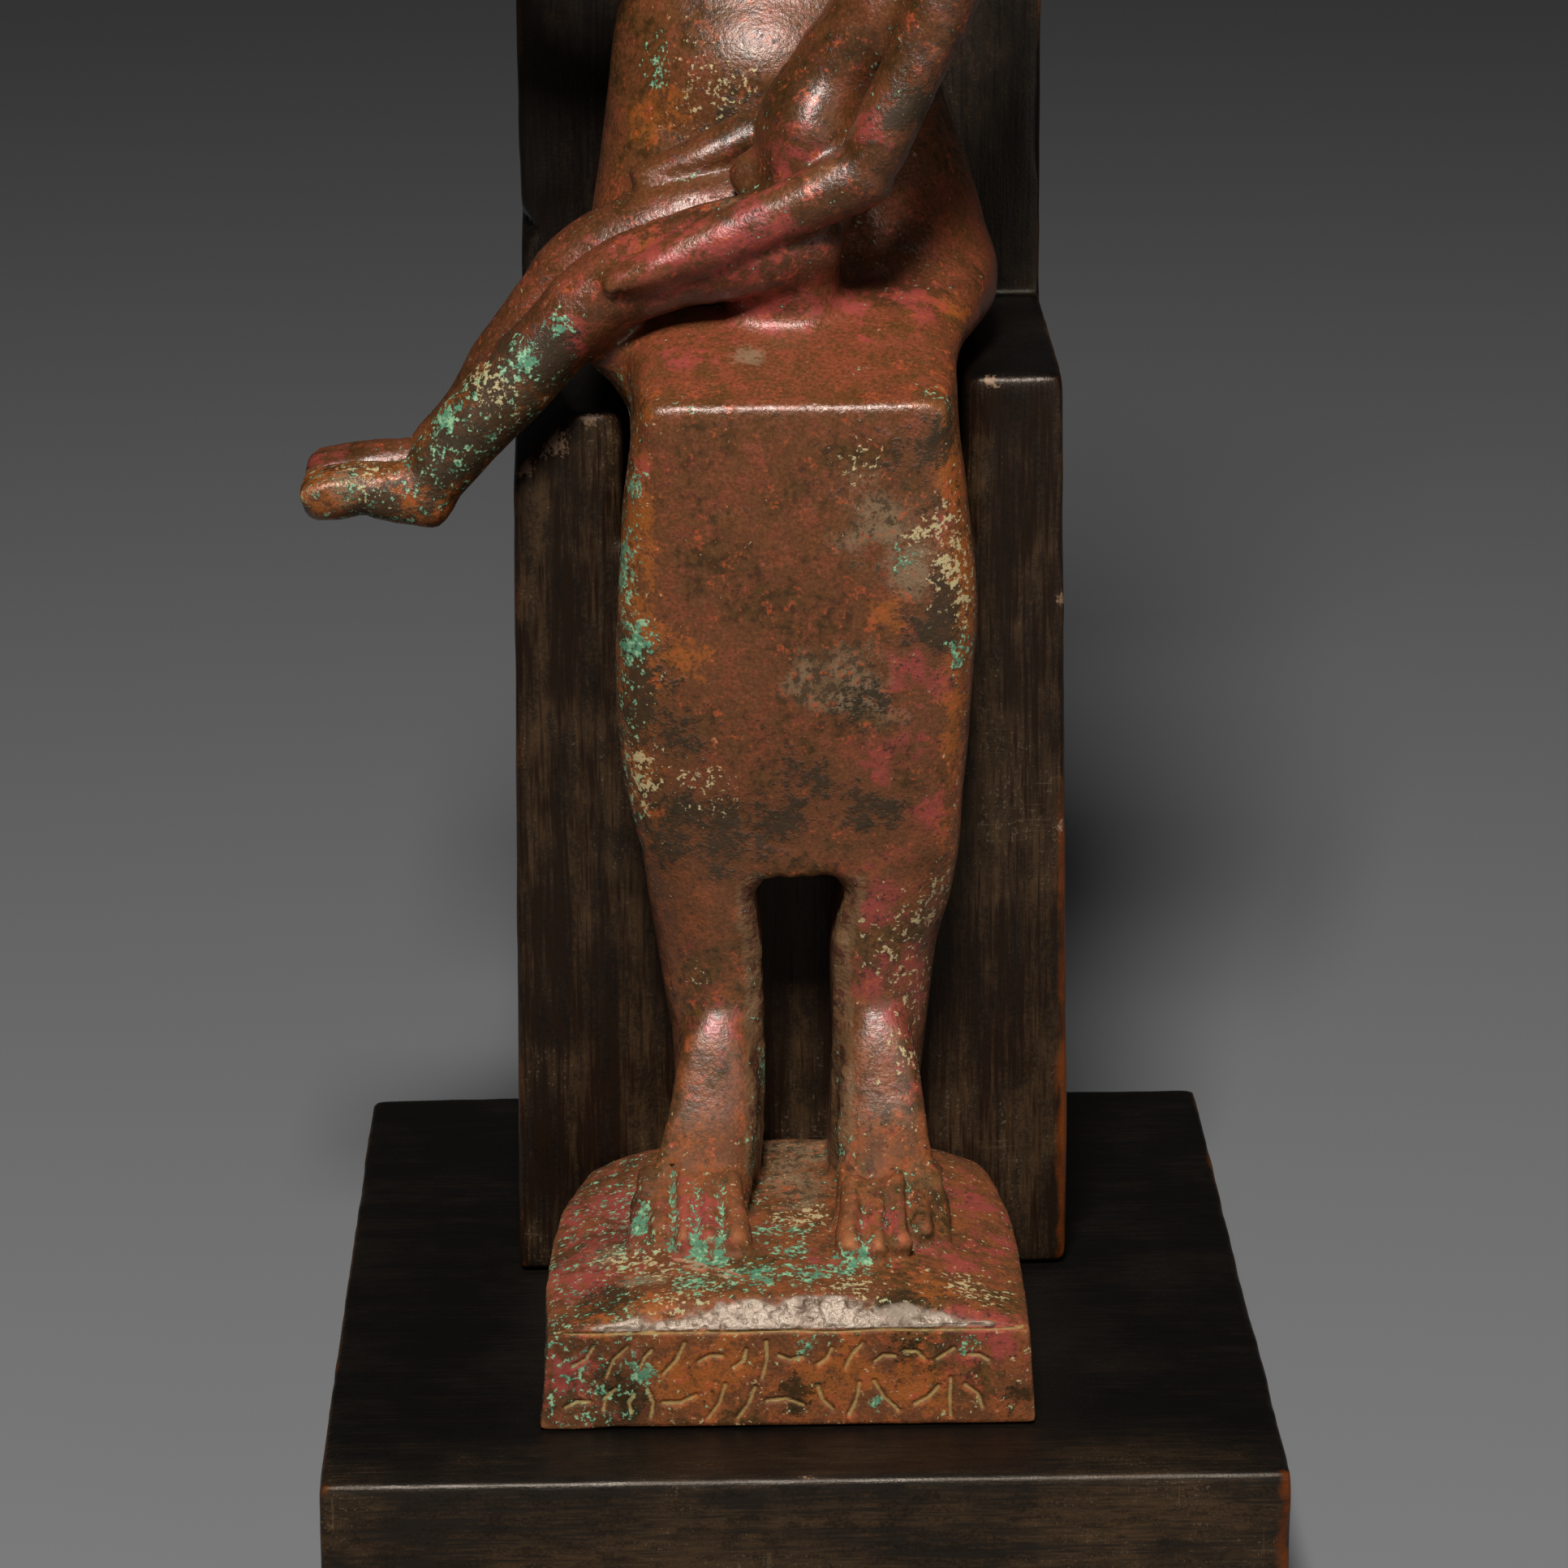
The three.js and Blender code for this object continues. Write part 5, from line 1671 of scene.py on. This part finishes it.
def lights():
    world = bpy.data.worlds.new("studio")
    bpy.context.scene.world = world
    world.use_nodes = True
    world.node_tree.nodes["Background"].inputs["Color"].default_value = (1, 1, 1, 1)
    world.node_tree.nodes["Background"].inputs["Strength"].default_value = 0.02
    area_light("key", (-0.05, -0.46, 0.61), (0, 0, 0.08), (0.13, 0.13), 10)
    area_light("fill", (0.45, -0.6, 0.18), (0, 0, 0.03), (0.4, 0.4), 0.9)
    bpy.context.scene.view_settings.view_transform = "Standard"


def camera():
    """The photograph's camera, from the straight edges of the wood."""
    focal_px, frame_px, sensor = 7000.0, 1932.0, 36.0
    tilt, yaw, roll = (math.radians(v) for v in (16.996, 1.013, -0.376))
    eye = Vector((-0.008745, -0.46192, 0.200463))
    ahead = Vector((math.sin(yaw) * math.cos(tilt), math.cos(yaw) * math.cos(tilt), -math.sin(tilt)))
    level = Vector((math.cos(yaw), -math.sin(yaw), 0))
    upward = level.cross(ahead)
    right = math.cos(roll) * level + math.sin(roll) * upward
    up = -math.sin(roll) * level + math.cos(roll) * upward
    data = bpy.data.cameras.new("camera")
    data.sensor_width = sensor
    data.lens = sensor * focal_px / frame_px
    data.clip_start = 0.01
    made = bpy.data.objects.new("camera", data)
    turn = Matrix((right, up, -ahead)).transposed().to_4x4()
    made.matrix_world = Matrix.Translation(eye) @ turn
    bpy.context.scene.collection.objects.link(made)
    bpy.context.scene.camera = made


def bronze_figure():
    casting = bronze_casting()
    figure = piece("bronze", *casting.mesh(), bronze_material())
    panel_y, panel_z = (REST_FRONT_Y + PANEL_DEPTH) / 1000, (LIFT + PANEL_TOP) / 1000
    refine(figure, lambda place: place.y < panel_y and place.z < panel_z, cuts=2)
    push(figure, bronze_skin)
    thin_out(figure, MOST["isis_and_child"], bronze_keep)
    keep_inside(figure, "isis_and_child")
    mark_bronze(figure, casting)
    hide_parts("isis_and_child")


def wooden_piece(node, casting, along, tone):
    wooden = piece(node + "_wood", *casting.mesh(), wood_material(node + "_wood", along, tone))
    push(wooden, wood_skin)
    thin_out(wooden, MOST[node])
    keep_inside(wooden, node)
    mark_wood(wooden, casting)
    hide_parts(node)


def main():
    camera()
    floor()
    lights()
    bronze_figure()
    wooden_piece("throne", throne_casting(), along=2, tone=(30, 21, 13))
    wooden_piece("base", base_casting(), along=0, tone=(32, 28, 24))


main()
